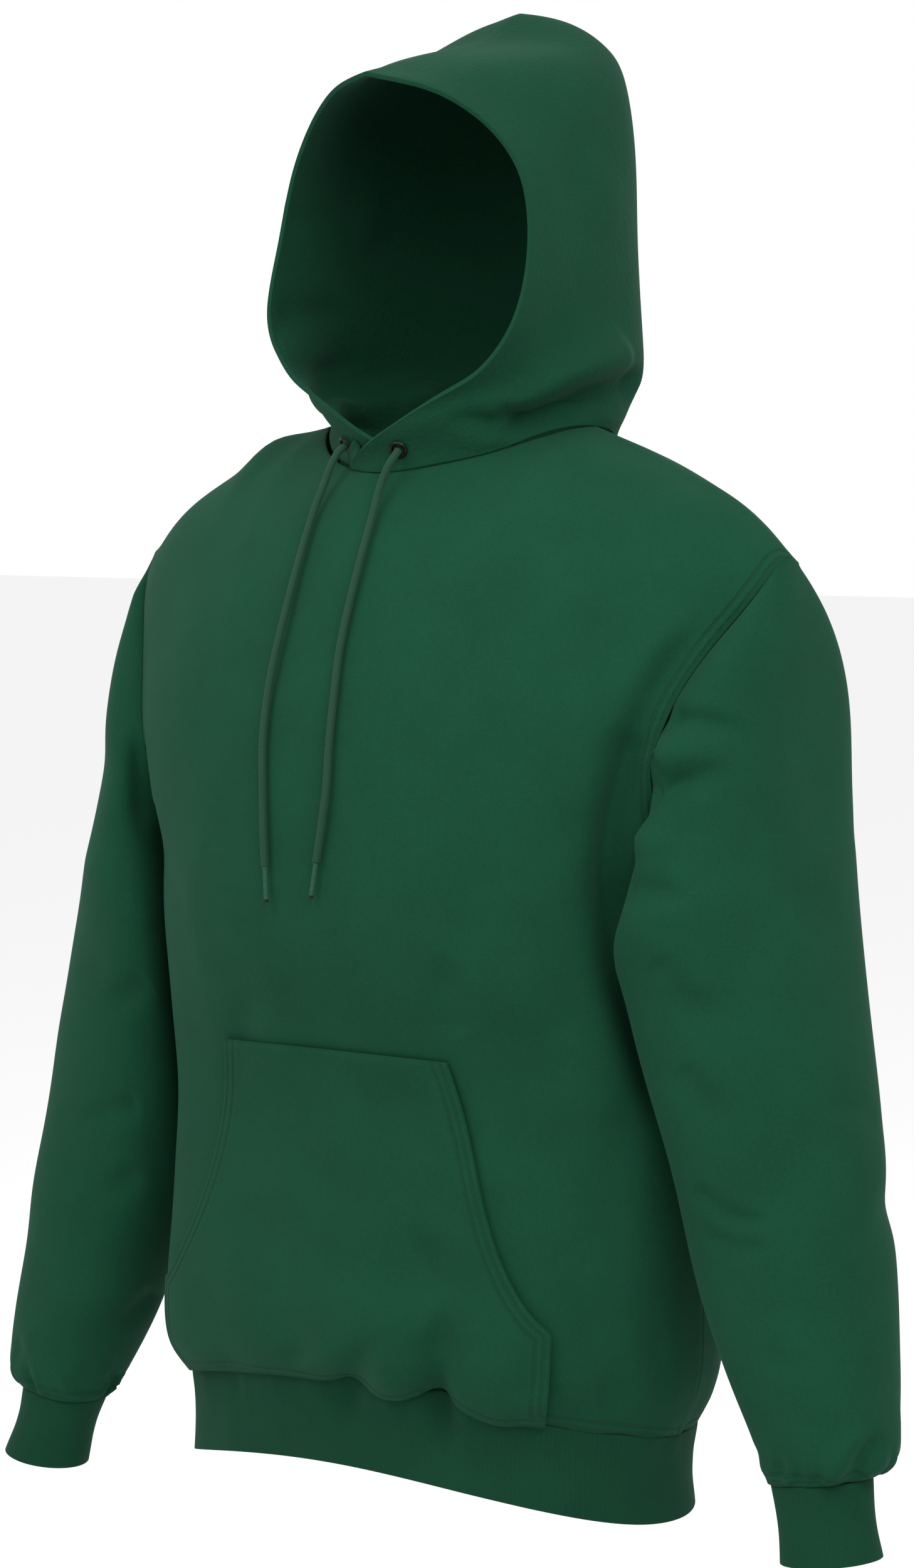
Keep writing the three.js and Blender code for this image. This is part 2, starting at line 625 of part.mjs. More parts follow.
// Levels of one half of the hood. Face edge: xf, yf, zf. Widest place: w, yw, zw.
// Back seam: yb, zb
const HOOD_LEVELS = [
  { v: 0, xf: -24, yf: -76, zf: -30, w: 112, yw: 26, zw: 0, yb: 114, zb: -2 },
  { v: 0.06, xf: -8, yf: -80, zf: -16, w: 114, yw: 26, zw: 11, yb: 116, zb: 10 },
  { v: 0.12, xf: 18, yf: -83, zf: 1, w: 114, yw: 27, zw: 22, yb: 124, zb: 20 },
  { v: 0.18, xf: 48, yf: -77, zf: 17, w: 116, yw: 29, zw: 34, yb: 130, zb: 30 },
  { v: 0.26, xf: 82, yf: -66, zf: 37, w: 115, yw: 32, zw: 52, yb: 134, zb: 48 },
  { v: 0.38, xf: 105, yf: -59, zf: 72, w: 110, yw: 35, zw: 84, yb: 136, zb: 82 },
  { v: 0.52, xf: 105, yf: -45, zf: 124, w: 108, yw: 36, zw: 132, yb: 136, zb: 132 },
  { v: 0.66, xf: 94, yf: -44, zf: 171, w: 103, yw: 38, zw: 178, yb: 138, zb: 182 },
  { v: 0.78, xf: 67, yf: -56, zf: 204, w: 94, yw: 48, zw: 216, yb: 139, zb: 226 },
  { v: 0.88, xf: 40, yf: -70, zf: 220, w: 78, yw: 56, zw: 242, yb: 140, zb: 256 },
  { v: 0.95, xf: 18, yf: -81, zf: 226, w: 50, yw: 58, zw: 254, yb: 140, zb: 263 },
  { v: 1, xf: 0, yf: -84, zf: 230, w: 0, yw: 48, zw: 257, yb: 137, zb: 265 },
];
const HOOD_UNDER = HOOD_CLOTH + 2.6; // depth of the right half's throat behind the left one's
const HOOD_LAP = -15; // degrees past the middle of the front that each half reaches
const PEAK = { y: 86, height: 24, wide: 20 };
const SIDE_SHARE = 0.55; // where the side turns into the back, in shares from the face edge

// Cubic curve through four control values
const bezier = (a, b, c, d, t) =>
  a * (1 - t) ** 3 + 3 * b * t * (1 - t) ** 2 + 3 * c * t * t * (1 - t) + d * t ** 3;

// The hood's surface on the wearer's left: u from the face edge to the back seam, v from the neck up
function hoodPoint(u, v) {
  const value = (column) => read(HOOD_LEVELS, "v", v, column);
  const [xf, yf, zf] = [value("xf"), value("yf"), value("zf")];
  const [w, yw, zw] = [value("w"), value("yw"), value("zw")];
  const [yb, zb] = [value("yb"), value("zb")];
  const heights = [
    { u: 0, z: zf },
    { u: SIDE_SHARE, z: zw },
    { u: 1, z: zb },
  ];
  const p = new THREE.Vector3(0, 0, read(heights, "u", clamp(u, 0, 1), "z"));
  if (u < SIDE_SHARE) {
    const t = u / SIDE_SHARE;
    const run = yw - yf;
    const open = mix(0.55, 0.2, smooth(v / 0.4));
    p.x = bezier(xf, mix(xf, w, open), w, w, t);
    const lead = run * (1 - open) * 0.4 * smooth((v - 0.07) / 0.16);
    p.y = bezier(yf, yf + lead, yw - run * 0.42, yw, t);
  } else {
    const t = (u - SIDE_SHARE) / (1 - SIDE_SHARE);
    const round = 0.62;
    p.x = bezier(w, w, w * round, 0, t);
    p.y = bezier(yw, mix(yw, yb, round), yb, yb, t);
  }
  const crown = smooth((v - 0.82) / 0.18) ** 2;
  p.z += PEAK.height * bump(p.y - PEAK.y, PEAK.wide) * crown;
  return p;
}

// Half a hood whose lower edge follows the neckline of the body; under: how far its throat lies
// behind the other half's
function hoodSurface(under) {
  return (u, v) => {
    const tuck = under * (1 - smooth((u - 0.3) / 0.3));
    const p = hoodPoint(u, v);
    p.y += tuck * (1 - smooth((v - 0.1) / 0.2));
    const low = 1 - smooth(v / 0.1);
    if (low <= 0) return p;
    const angle = mix(HOOD_LAP * DEGREE, 180 * DEGREE, clamp(u, 0, 1));
    const seat = neckPoint(angle, 0.6 - tuck);
    seat.z += 3 * SEAM_GAP + v * 180;
    return p.lerp(seat, low);
  };
}

function hoodHalf(name, side) {
  const surface = side > 0 ? hoodSurface(0) : mirrored(hoodSurface(HOOD_UNDER));
  const us = [...shares(9, 0, SIDE_SHARE), ...shares(8, SIDE_SHARE, 0.9995).slice(1)];
  const vs = [...shares(8, 0, 0.26), ...shares(9, 0.26, 0.84).slice(1), 0.89, 0.93, 0.97, 0.9998];
  const turned = (normal, i, j) => {
    if (i === vs.length - 1 || j === us.length - 1) normal.setX(0).normalize();
    return normal;
  };
  return clothWall(name, surface, us, vs, {
    thickness: HOOD_CLOTH,
    material: FLEECE.clone(),
    facing: side,
    turned,
  });
}

// Eyelets: metal rings in the hood's front, one on each side of the throat
// u, v: place on the hood half, off: its back's distance from the cloth
const EYELET = {
  left: { u: 0.1, v: 0.06 },
  right: { u: 0.12, v: 0.066 },
  off: 1.3,
  thick: 1.6,
};

function eyelet(name, side) {
  const surface = side > 0 ? hoodSurface(0) : mirrored(hoodSurface(HOOD_UNDER));
  const { u, v } = side > 0 ? EYELET.left : EYELET.right;
  const normal = normalOf(surface, u, v, side);
  const rim = [
    [EYELET_BORE, 0],
    [EYELET_OUTER, 0],
    [EYELET_OUTER, EYELET.thick * 0.45],
    [EYELET_OUTER - 0.8, EYELET.thick],
    [EYELET_BORE + 0.8, EYELET.thick],
    [EYELET_BORE, EYELET.thick * 0.45],
    [EYELET_BORE, 0],
  ];
  const profile = rim.map(([radius, height]) => new THREE.Vector2(radius, height));
  const mesh = new THREE.Mesh(new THREE.LatheGeometry(profile, 24), METAL.clone());
  mesh.quaternion.setFromUnitVectors(new THREE.Vector3(0, 1, 0), normal);
  mesh.position.copy(surface(u, v)).addScaledVector(normal, EYELET.off);
  mesh.name = name;
  return mesh;
}

// Drawcord: from each eyelet down over the chest to its free end, with a bound tip
const CORD_ROUTES = {
  left: [
    [20.4, -76.2, -14.4],
    [21, -80.2, -17.4],
    [18.8, -84.2, -24],
    [15, -87.4, -36],
    [14, -94.2, -54.3],
    [15.8, -109.4, -83],
    [16.4, -122.2, -112],
    [16.7, -132.6, -140.9],
    [18.6, -141.1, -170.2],
    [20.2, -148.2, -200],
    [21.8, -153.2, -228],
    [20, -155.8, -252],
    [16.6, -157.3, -276.5],
  ],
  right: [
    [-29.4, -69.2, -11.6],
    [-31.2, -74, -15.6],
    [-33, -78.6, -23.6],
    [-35.8, -83.2, -37],
    [-38.4, -90.4, -54.1],
    [-37, -107, -84.1],
    [-36.2, -122.6, -118.3],
    [-36.9, -134.7, -152.2],
    [-37, -141.1, -176.2],
    [-35.6, -147, -200.6],
    [-31.8, -152, -228.6],
    [-28.3, -155.5, -258.5],
    [-26, -157, -281.5],
  ],
};

const cordPath = (points) => new THREE.CatmullRomCurve3(points.map((p) => new THREE.Vector3(...p)));

function tube(name, path, diameter, steps) {
  const section = new THREE.Shape();
  section.absarc(0, 0, diameter / 2, 0, 2 * Math.PI);
  const geometry = new THREE.ExtrudeGeometry(section, {
    steps,
    curveSegments: 5,
    extrudePath: path,
    bevelEnabled: false,
  });
  const mesh = new THREE.Mesh(geometry, CORD.clone());
  mesh.name = name;
  return mesh;
}

function drawcord(name, points) {
  return tube(name, cordPath(points), CORD_DIAMETER, 30);
}

// The tip continues the cord's last stretch
function cordTip(name, points) {
  const path = cordPath(points);
  const along = path.getTangentAt(1);
  const start = path.getPointAt(1).addScaledVector(along, SEAM_GAP);
  const end = start.clone().addScaledVector(along, CORD_TIP_LENGTH);
  return tube(name, new THREE.LineCurve3(start, end), CORD_TIP_DIAMETER, 2);
}

const hoodie = new THREE.Group();
hoodie.add(bodyPanel("front", -1));
hoodie.add(bodyPanel("back", 1));
hoodie.add(sleeve("sleeve_left", 1));
hoodie.add(sleeve("sleeve_right", -1));
hoodie.add(cuff("cuff_left", 1));
hoodie.add(cuff("cuff_right", -1));
hoodie.add(waistband());
hoodie.add(pocket());
hoodie.add(hoodHalf("hood_left", 1));
hoodie.add(hoodHalf("hood_right", -1));
hoodie.add(eyelet("eyelet_left", 1));
hoodie.add(eyelet("eyelet_right", -1));
hoodie.add(drawcord("drawcord_left", CORD_ROUTES.left));
hoodie.add(drawcord("drawcord_right", CORD_ROUTES.right));
hoodie.add(cordTip("cord_tip_left", CORD_ROUTES.left));
hoodie.add(cordTip("cord_tip_right", CORD_ROUTES.right));

export default hoodie;
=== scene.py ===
"""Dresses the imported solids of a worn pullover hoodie: cloth, stitching, ribs, drawcord and eyelets."""

from __future__ import annotations

import logging
import math
from dataclasses import dataclass, field
from enum import Enum
from typing import Callable

import bmesh
import bpy
import numpy as np
from mathutils import Matrix, Vector
from mathutils.bvhtree import BVHTree
from mathutils.kdtree import KDTree

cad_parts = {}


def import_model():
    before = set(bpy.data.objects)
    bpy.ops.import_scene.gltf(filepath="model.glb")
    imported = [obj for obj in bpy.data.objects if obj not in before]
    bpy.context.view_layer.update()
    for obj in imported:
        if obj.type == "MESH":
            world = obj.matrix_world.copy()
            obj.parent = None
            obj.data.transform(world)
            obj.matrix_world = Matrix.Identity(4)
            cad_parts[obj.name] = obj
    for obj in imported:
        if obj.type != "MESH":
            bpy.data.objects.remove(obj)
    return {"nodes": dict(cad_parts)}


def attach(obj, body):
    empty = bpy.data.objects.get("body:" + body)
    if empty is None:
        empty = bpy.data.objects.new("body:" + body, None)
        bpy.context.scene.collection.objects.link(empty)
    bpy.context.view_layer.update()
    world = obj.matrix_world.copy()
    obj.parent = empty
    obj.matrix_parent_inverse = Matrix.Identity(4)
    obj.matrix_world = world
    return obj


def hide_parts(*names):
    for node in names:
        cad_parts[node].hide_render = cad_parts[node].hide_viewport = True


LOG = logging.getLogger("hoodie")
MM = 0.001
CLOTH_UV = "cloth"
SEAM = "seam_mm"
SEAM_REACH_MM = 40.0
STITCHED = "stitched_mm"
STITCH_ROWS = 5.6 * MM
BODY_CLOTH = 2.2 * MM
RIB_CLOTH = 2.8 * MM
HOOD_CLOTH = 3.0 * MM


# Camera and the views that creases are drawn in


@dataclass(frozen=True)
class Photographer:
    """The camera that the garment is photographed with."""

    azimuth: float = 37.0
    elevation: float = 4.5
    distance: float = 2.9
    focal_px: float = 6904.76
    width_px: float = 1458.0
    height_px: float = 2500.0
    target: tuple[float, float, float] = (0.0070, 0.0053, -0.2369)
    sensor: float = 36.0

    def axes(self) -> tuple[np.ndarray, np.ndarray, np.ndarray]:
        """The camera's back, right and up directions."""
        a, e = math.radians(self.azimuth), math.radians(self.elevation)
        back = np.array([math.sin(a) * math.cos(e), -math.cos(a) * math.cos(e), math.sin(e)])
        right = np.array([math.cos(a), math.sin(a), 0.0])
        return back, right, np.cross(back, right)

    def eye(self) -> np.ndarray:
        """Where the camera stands, in metres."""
        return np.array(self.target) + self.distance * self.axes()[0]

    def flat(self, points: np.ndarray) -> np.ndarray:
        """The places of points in the picture.

        Args:
            points: rows of x, y, z in metres.

        Returns:
            Rows of pixels, right and down.
        """
        back, right, up = self.axes()
        rel = points - self.eye()
        depth = -rel @ back
        x = self.width_px / 2 + self.focal_px * (rel @ right) / depth
        y = self.height_px / 2 - self.focal_px * (rel @ up) / depth
        return np.stack([x, y], 1)

    def facing(self, points: np.ndarray, normals: np.ndarray) -> np.ndarray:
        """How far each normal turns towards the camera, from -1 to 1."""
        way = self.eye() - points
        way /= np.linalg.norm(way, axis=1)[:, None]
        return np.einsum("ij,ij->i", way, normals)

    def place(self) -> bpy.types.Object:
        """Puts the camera in the scene and returns it."""
        data = bpy.data.cameras.new("photographer")
        data.lens = self.focal_px / self.height_px * self.sensor
        data.sensor_width = self.sensor
        data.clip_end = 60.0
        camera = bpy.data.objects.new("photographer", data)
        bpy.context.scene.collection.objects.link(camera)
        back, right, up = (Vector(v) for v in self.axes())
        turn = Matrix((right, up, back)).transposed().to_4x4()
        camera.matrix_world = Matrix.Translation(Vector(self.eye())) @ turn
        bpy.context.scene.camera = camera
        return camera


@dataclass(frozen=True)
class FlatView:
    """A straight-on view, in millimetres, with its azimuth and elevation as the camera's run."""

    azimuth: float
    elevation: float = 0.0

    def axes(self) -> tuple[np.ndarray, np.ndarray, np.ndarray]:
        """The directions towards the viewer, to the viewer's right and up."""
        a, e = math.radians(self.azimuth), math.radians(self.elevation)
        back = np.array([math.sin(a) * math.cos(e), -math.cos(a) * math.cos(e), math.sin(e)])
        right = np.array([math.cos(a), math.sin(a), 0.0])
        return back, right, np.cross(back, right)

    def flat(self, points: np.ndarray) -> np.ndarray:
        """The places of points in the view: millimetres right and up."""
        _, right, up = self.axes()
        return np.stack([points @ right, points @ up], 1) / MM

    def facing(self, points: np.ndarray, normals: np.ndarray) -> np.ndarray:
        """How far each normal turns towards the viewer, from -1 to 1."""
        return normals @ self.axes()[0]


PHOTOGRAPHER = Photographer()


class View(Enum):
    """Where a crease is seen from."""

    PHOTO = PHOTOGRAPHER
    FRONT = FlatView(0.0)
    LEFT = FlatView(90.0)
    BACK = FlatView(180.0)
    RIGHT = FlatView(270.0)
    TOP = FlatView(0.0, 90.0)


def smooth_line(points: list[tuple[float, ...]], steps: int = 8) -> np.ndarray:
    """A smooth line through given points.

    Args:
        points: the points, of two or three numbers each.
        steps: how many short pieces each stretch gets.

    Returns:
        The rows of the finer line.
    """
    p = np.array(points, float)
    p = np.vstack([2 * p[0] - p[1], p, 2 * p[-1] - p[-2]])
    rows = []
    for i in range(1, len(p) - 2):
        for t in np.arange(steps) / steps:
            a, b, c, d = p[i - 1 : i + 3]
            rows.append(
                0.5
                * (
                    2 * b
                    + (c - a) * t
                    + (2 * a - 5 * b + 4 * c - d) * t**2
                    + (3 * b - a - 3 * c + d) * t**3
                )
            )
    rows.append(p[-2])
    return np.array(rows)


def eased(t: np.ndarray | float) -> np.ndarray | float:
    """A smooth step from 0 to 1."""
    t = np.clip(t, 0.0, 1.0)
    return t * t * (3 - 2 * t)


@dataclass(frozen=True)
class Crease:
    """A soft trough or ridge in the cloth, drawn as a line in one view.

    Width is in the view's own units, and depth in millimetres, in for a trough and out for a ridge.
    Fade is the share of the line over which it runs out at its start and at its end, and sink is how
    many millimetres it pulls the cloth down.
    """

    view: View
    width: float
    depth: float
    path: tuple[tuple[float, float], ...]
    fade: tuple[float, float] = (0.35, 0.35)
    inside: bool = False
    lips: float = 0.32
    through_seams: bool = False
    sink: float = 0.0

    def offsets(self, points: np.ndarray, normals: np.ndarray) -> np.ndarray:
        """How the crease moves each point, in metres.

        Args:
            points: rows of x, y, z in metres.
            normals: the cloth's outward normals there.

        Returns:
            One row of x, y, z a point.
        """
        seen = self.view.value.facing(points, normals) * (-1.0 if self.inside else 1.0)
        shown = eased(seen / 0.25)
        near = shown > 0.001
        moved = np.zeros((len(points), 3))
        if not near.any():
            return moved
        xy = self.view.value.flat(points[near])
        line = smooth_line(list(self.path))
        lengths = np.linalg.norm(np.diff(line, axis=0), axis=1)
        start = np.concatenate([[0.0], np.cumsum(lengths)])
        best = np.full(len(xy), 1e9)
        along = np.zeros(len(xy))
        for k, length in enumerate(lengths):
            way = (line[k + 1] - line[k]) / max(length, 1e-9)
            run = np.clip((xy - line[k]) @ way, 0.0, length)
            gap = np.linalg.norm(xy - line[k] - run[:, None] * way, axis=1)
            closer = gap < best
            best[closer] = gap[closer]
            along[closer] = (start[k] + run[closer]) / start[-1]
        taper = np.ones(len(xy))
        if self.fade[0] > 0:
            taper *= eased(along / self.fade[0])
        if self.fade[1] > 0:
            taper *= eased((1 - along) / self.fade[1])
        uneven = 1 + 0.18 * np.sin(along * 8.3 + self.path[0][0])
        q = best / (self.width * (0.75 + 0.35 * taper))
        profile = np.exp(-(q**2)) - self.lips * np.exp(-((q / 2.1) ** 2))
        share = taper * uneven * profile / (1 - self.lips) * shown[near]
        moved[near] = share[:, None] * self.depth * MM * normals[near]
        moved[near, 2] -= taper * np.exp(-(q**2)) * shown[near] * self.sink * MM
        return moved


@dataclass(frozen=True)
class Ripple:
    """Broad, soft unevenness of hanging cloth, as a sum of long waves."""

    height: float = 0.9 * MM
    shortest: float = 0.05
    longest: float = 0.16
    waves: int = 14
    seed: int = 3

    def offsets(self, points: np.ndarray) -> np.ndarray:
        """One signed distance a point, in metres."""
        draw = np.random.default_rng(self.seed)
        total = np.zeros(len(points))
        for _ in range(self.waves):
            way = draw.normal(size=3) * np.array([1.0, 1.0, 0.55])
            way /= np.linalg.norm(way)
            length = draw.uniform(self.shortest, self.longest)
            total += np.sin(points @ way * (2 * math.pi / length) + draw.uniform(0, 6.3)) * length
        return total / (self.longest * math.sqrt(self.waves / 2)) * self.height


# Shader maths


class Shade:
    """A node socket that adds maths nodes when it is used in an expression."""

    def __init__(self, maker: "Finish", socket: bpy.types.NodeSocket) -> None:
        """Keeps the finish that makes nodes, and the socket."""
        self.maker = maker
        self.socket = socket

    def _math(self, operation: str, *others: "Shade | float") -> "Shade":
        """A Math node on this value and others."""
        return self.maker.node("ShaderNodeMath", {"operation": operation}, dict(enumerate(others)))

    def __add__(self, other: "Shade | float") -> "Shade":
        """Sum."""
        return self._math("ADD", self, other)

    __radd__ = __add__

    def __mul__(self, other: "Shade | float") -> "Shade":
        """Product."""
        return self._math("MULTIPLY", self, other)

    __rmul__ = __mul__

    def __sub__(self, other: "Shade | float") -> "Shade":
        """Difference."""
        return self._math("SUBTRACT", self, other)

    def __rsub__(self, other: float) -> "Shade":
        """Difference from a number."""
        return self._math("SUBTRACT", other, self)

    def __truediv__(self, other: "Shade | float") -> "Shade":
        """Quotient."""
        return self._math("DIVIDE", self, other)

    def __pow__(self, other: float) -> "Shade":
        """Power."""
        return self._math("POWER", self, other)

    def sine(self) -> "Shade":
        """Sine."""
        return self._math("SINE", self)

    def size(self) -> "Shade":
        """Absolute value."""
        return self._math("ABSOLUTE", self)

    def fade(self, low: float, high: float, start: float = 0.0, end: float = 1.0) -> "Shade":
        """A smooth step from start at low to end at high."""
        settings = {"interpolation_type": "SMOOTHSTEP", "clamp": True}
        values = {0: self, 1: low, 2: high, 3: start, 4: end}
        return self.maker.node("ShaderNodeMapRange", settings, values)


Colour = tuple[float, float, float]
SHEEN_TINT: Colour = (0.35, 0.86, 0.62)


@dataclass(frozen=True)
class Finish:
    """A finish of one material: builds its nodes when asked."""

    name: str
    base: Colour

    def node(
        self,
        kind: str,
        settings: dict[str, object] | None = None,
        values: dict[int | str, object] | None = None,
        output: int | str = 0,
    ) -> Shade:
        """Adds a node.

        Args:
            kind: the node's type.
            settings: its own settings, set first.
            values: its sockets' values, or the links into them.
            output: which output is returned.

        Returns:
            That output.
        """
        tree = bpy.data.materials[self.name].node_tree
        made = tree.nodes.new(kind)
        for key, value in (settings or {}).items():
            setattr(made, key, value)
        for key, value in (values or {}).items():
            if isinstance(value, Shade):
                tree.links.new(value.socket, made.inputs[key])
            else:
                made.inputs[key].default_value = value
        return Shade(self, made.outputs[output])

    def place(self) -> Shade:
        """Object coordinates, in metres."""
        return self.node("ShaderNodeTexCoord", output="Object")

    def speckle(self, scale: float, detail: float = 2.0, stretch: Colour = (1, 1, 1)) -> Shade:
        """Noise over the object, around 0.5; scale is in cells a metre."""
        where = self.node("ShaderNodeMapping", {}, {"Vector": self.place(), "Scale": stretch})
        values = {"Vector": where, "Scale": scale, "Detail": detail}
        return self.node("ShaderNodeTexNoise", {}, values, "Fac")

    def tint(self, factor: Shade, low: Colour, high: Colour) -> Shade:
        """A colour between two, by a factor."""
        values = {"Factor": factor, 6: (*low, 1.0), 7: (*high, 1.0)}
        return self.node("ShaderNodeMix", {"data_type": "RGBA"}, values, 2)

    def times(self, grey: float) -> Colour:
        """The base colour, lighter or darker."""
        return tuple(c * grey for c in self.base)

    def shader(self, surface: bpy.types.ShaderNode) -> None:
        """Sets and links the surface's sockets."""
        raise NotImplementedError

    def material(self) -> bpy.types.Material:
        """The material, made once."""
        made = bpy.data.materials.get(self.name)
        if made is not None:
            return made
        made = bpy.data.materials.new(self.name)
        made.use_nodes = True
        made.diffuse_color = (*self.base, 1.0)
        self.shader(made.node_tree.nodes["Principled BSDF"])
        return made

    def link(self, surface: bpy.types.ShaderNode, **links: Shade) -> None:
        """Links values into the surface's sockets, named with underscores for spaces."""
        tree = bpy.data.materials[self.name].node_tree
        for key, value in links.items():
            tree.links.new(value.socket, surface.inputs[key.replace("_", " ")])

    def bump(self, height: Shade, distance: float, strength: float = 1.0) -> Shade:
        """A bump from a height of 0 to 1 over a distance in metres."""
        values = {"Height": height, "Distance": distance, "Strength": strength}
        return self.node("ShaderNodeBump", {}, values)


@dataclass(frozen=True)
class Fleece(Finish):
    """Matt brushed fleece: a short nap over a fine knit, softly puckered at its seams, with painted shade
    along the seam edges and stitch lines.
    """

    nap: float = 0.5
    sheen: float = 0.045
    gloss: float = 0.06

    def shader(self, surface: bpy.types.ShaderNode) -> None:
        """Nap, knit and a little unevenness of the dye, with painted shade at the seam edges, in the
        stitch dimples and between the knit's wales.
        """
        patches = self.speckle(22.0, 3.0)
        flecks = self.speckle(620.0, 2.0)
        fibres = self.speckle(1900.0, 2.0, (1.0, 1.0, 0.45))
        seam = self.node("ShaderNodeAttribute", {"attribute_name": SEAM}, output="Fac")
        rows = self.node("ShaderNodeAttribute", {"attribute_name": STITCHED}, output="Fac")
        # Pulled is the dimple that the stitch rows pull into the cloth: it is used as a bump and as
        # painted shade in the colour.
        pulled = rows.size().fade(0.2, 2.2, 1.0, 0.0)
        pulled = pulled + (rows - STITCH_ROWS / MM).size().fade(0.2, 2.2, 1.0, 0.0)
        pulled = pulled * (self.speckle(330.0, 1.0) * 0.9 + 0.55)
        u = self.node("ShaderNodeUVMap", {"uv_map": CLOTH_UV})
        u = self.node("ShaderNodeSeparateXYZ", {}, {0: u})
        # Wales: the knit's columns, a bump whose crests are also painted a little lighter than the dips
        # between them, as painted shade.
        wales = (u * (2 * math.pi / 0.9)).sine()
        crease = self.speckle(150.0, 1.0) * seam.fade(2.0, 15.0, 1.0, 0.0)
        light = patches * 0.30 + flecks * 0.34 + fibres * 0.36
        # Painted shade: the colour darkens within 1.6 mm of the seam edges and in the stitch dimples.
        light = light + wales * 0.02 - seam.fade(0.0, 1.6, 0.10, 0.0) - pulled * 0.13
        colour = self.tint(light.fade(0.28, 0.72), self.times(0.84), self.times(1.17))
        height = flecks * 0.35 + fibres * 0.4 + wales * 0.05 + crease * 1.5
        nap = self.bump(height, 0.55 * MM, self.nap)
        settings = {"Height": pulled * -1.0, "Distance": 0.8 * MM, "Strength": 0.8, "Normal": nap}
        surface.inputs["Specular IOR Level"].default_value = self.gloss
        surface.inputs["Sheen Weight"].default_value = self.sheen
        surface.inputs["Sheen Roughness"].default_value = 0.5
        surface.inputs["Sheen Tint"].default_value = (*SHEEN_TINT, 1.0)
        self.link(
            surface,
            Base_Color=colour,
            Roughness=flecks * 0.12 + 0.84,
            Normal=self.node("ShaderNodeBump", {}, settings),
        )


@dataclass(frozen=True)
class Rib(Finish):
    """Fine rib knit: narrow upright ridges, matt."""

    pitch_mm: float = 2.6
    sheen: float = 0.04
    gloss: float = 0.06

    def shader(self, surface: bpy.types.ShaderNode) -> None:
        """Ridges across the cloth's own map, with a soft nap and painted shade in the grooves between the
        ridges.
        """
        u = self.node("ShaderNodeUVMap", {"uv_map": CLOTH_UV})
        u = self.node("ShaderNodeSeparateXYZ", {}, {0: u})
        ridge = (u * (2 * math.pi / self.pitch_mm)).sine() * 0.5 + 0.5
        flecks = self.speckle(700.0, 2.0)
        fibres = self.speckle(2100.0, 2.0, (1.0, 1.0, 0.4))
        patches = self.speckle(26.0, 3.0)
        # Painted shade: the ridges' crests are painted a little lighter than the grooves between them.
        light = patches * 0.3 + flecks * 0.3 + fibres * 0.34 + ridge * 0.06
        colour = self.tint(light.fade(0.28, 0.72), self.times(0.84), self.times(1.16))
        height = ridge * 0.22 + flecks * 0.34 + fibres * 0.44
        surface.inputs["Specular IOR Level"].default_value = self.gloss
        surface.inputs["Sheen Weight"].default_value = self.sheen
        surface.inputs["Sheen Roughness"].default_value = 0.5
        surface.inputs["Sheen Tint"].default_value = (*SHEEN_TINT, 1.0)
        self.link(
            surface,
            Base_Color=colour,
            Roughness=flecks * 0.12 + 0.84,
            Normal=self.bump(height, 0.5 * MM, 0.5),
        )


@dataclass(frozen=True)
class Thread(Finish):
    """Sewing thread: a tight twist, a little smoother than the cloth."""

    def shader(self, surface: bpy.types.ShaderNode) -> None:
        """A fine fleck and a low gloss."""
        flecks = self.speckle(1500.0, 1.0)
        surface.inputs["Specular IOR Level"].default_value = 0.12
        surface.inputs["Sheen Weight"].default_value = 0.04
        self.link(
            surface,
            Base_Color=self.tint(flecks.fade(0.3, 0.7), self.times(0.85), self.times(1.2)),
            Roughness=flecks * 0.15 + 0.55,
        )


@dataclass(frozen=True)
class Braid(Finish):
    """Round braided cord: crossing strands along its own map."""

    strand_mm: float = 2.2

    def shader(self, surface: bpy.types.ShaderNode) -> None:
        """Strands that cross both ways, with loose fibres, and painted shade in the gaps between the
        strands.
        """
        uv = self.node("ShaderNodeUVMap", {"uv_map": CLOTH_UV})
        u = self.node("ShaderNodeSeparateXYZ", {}, {0: uv}, 0)
        v = self.node("ShaderNodeSeparateXYZ", {}, {0: uv}, 1)
        turn = 2 * math.pi / self.strand_mm
        one = ((u + v * 1.1) * turn).sine()
        two = ((u - v * 1.1) * turn).sine()
        strand = one * two * 0.5 + 0.5
        fibres = self.speckle(1800.0, 2.0)
        # Painted shade: the strands' crests are painted lighter and the gaps between them darker.
        light = strand * 0.5 + fibres * 0.5
        surface.inputs["Specular IOR Level"].default_value = 0.15
        surface.inputs["Sheen Weight"].default_value = 0.05
        surface.inputs["Sheen Roughness"].default_value = 0.45
        self.link(
            surface,
            Base_Color=self.tint(light.fade(0.2, 0.8), self.times(0.72), self.times(1.25)),
            Roughness=fibres * 0.15 + 0.72,
            Normal=self.bump(strand * 0.8 + fibres * 0.2, 0.4 * MM, 0.7),
        )


@dataclass(frozen=True)
class DarkMetal(Finish):
    """Antiqued metal, rubbed a little brighter in patches."""

    def shader(self, surface: bpy.types.ShaderNode) -> None:
        """Patchy tone and gloss."""
        rubbed = self.speckle(260.0, 3.0)
        fine = self.speckle(1400.0, 2.0)
        surface.inputs["Metallic"].default_value = 1.0
        self.link(
            surface,
            Base_Color=self.tint(rubbed.fade(0.35, 0.75), self.times(0.7), self.times(1.6)),
            Roughness=rubbed * 0.2 + 0.32,
            Normal=self.bump(fine, 0.1 * MM, 0.3),
        )


@dataclass(frozen=True)
class Paper(Finish):
    """The studio's plain pale floor."""

    def shader(self, surface: bpy.types.ShaderNode) -> None:
        """Plain and matt."""
        surface.inputs["Base Color"].default_value = (*self.base, 1.0)
        surface.inputs["Roughness"].default_value = 0.9
        surface.inputs["Specular IOR Level"].default_value = 0.1


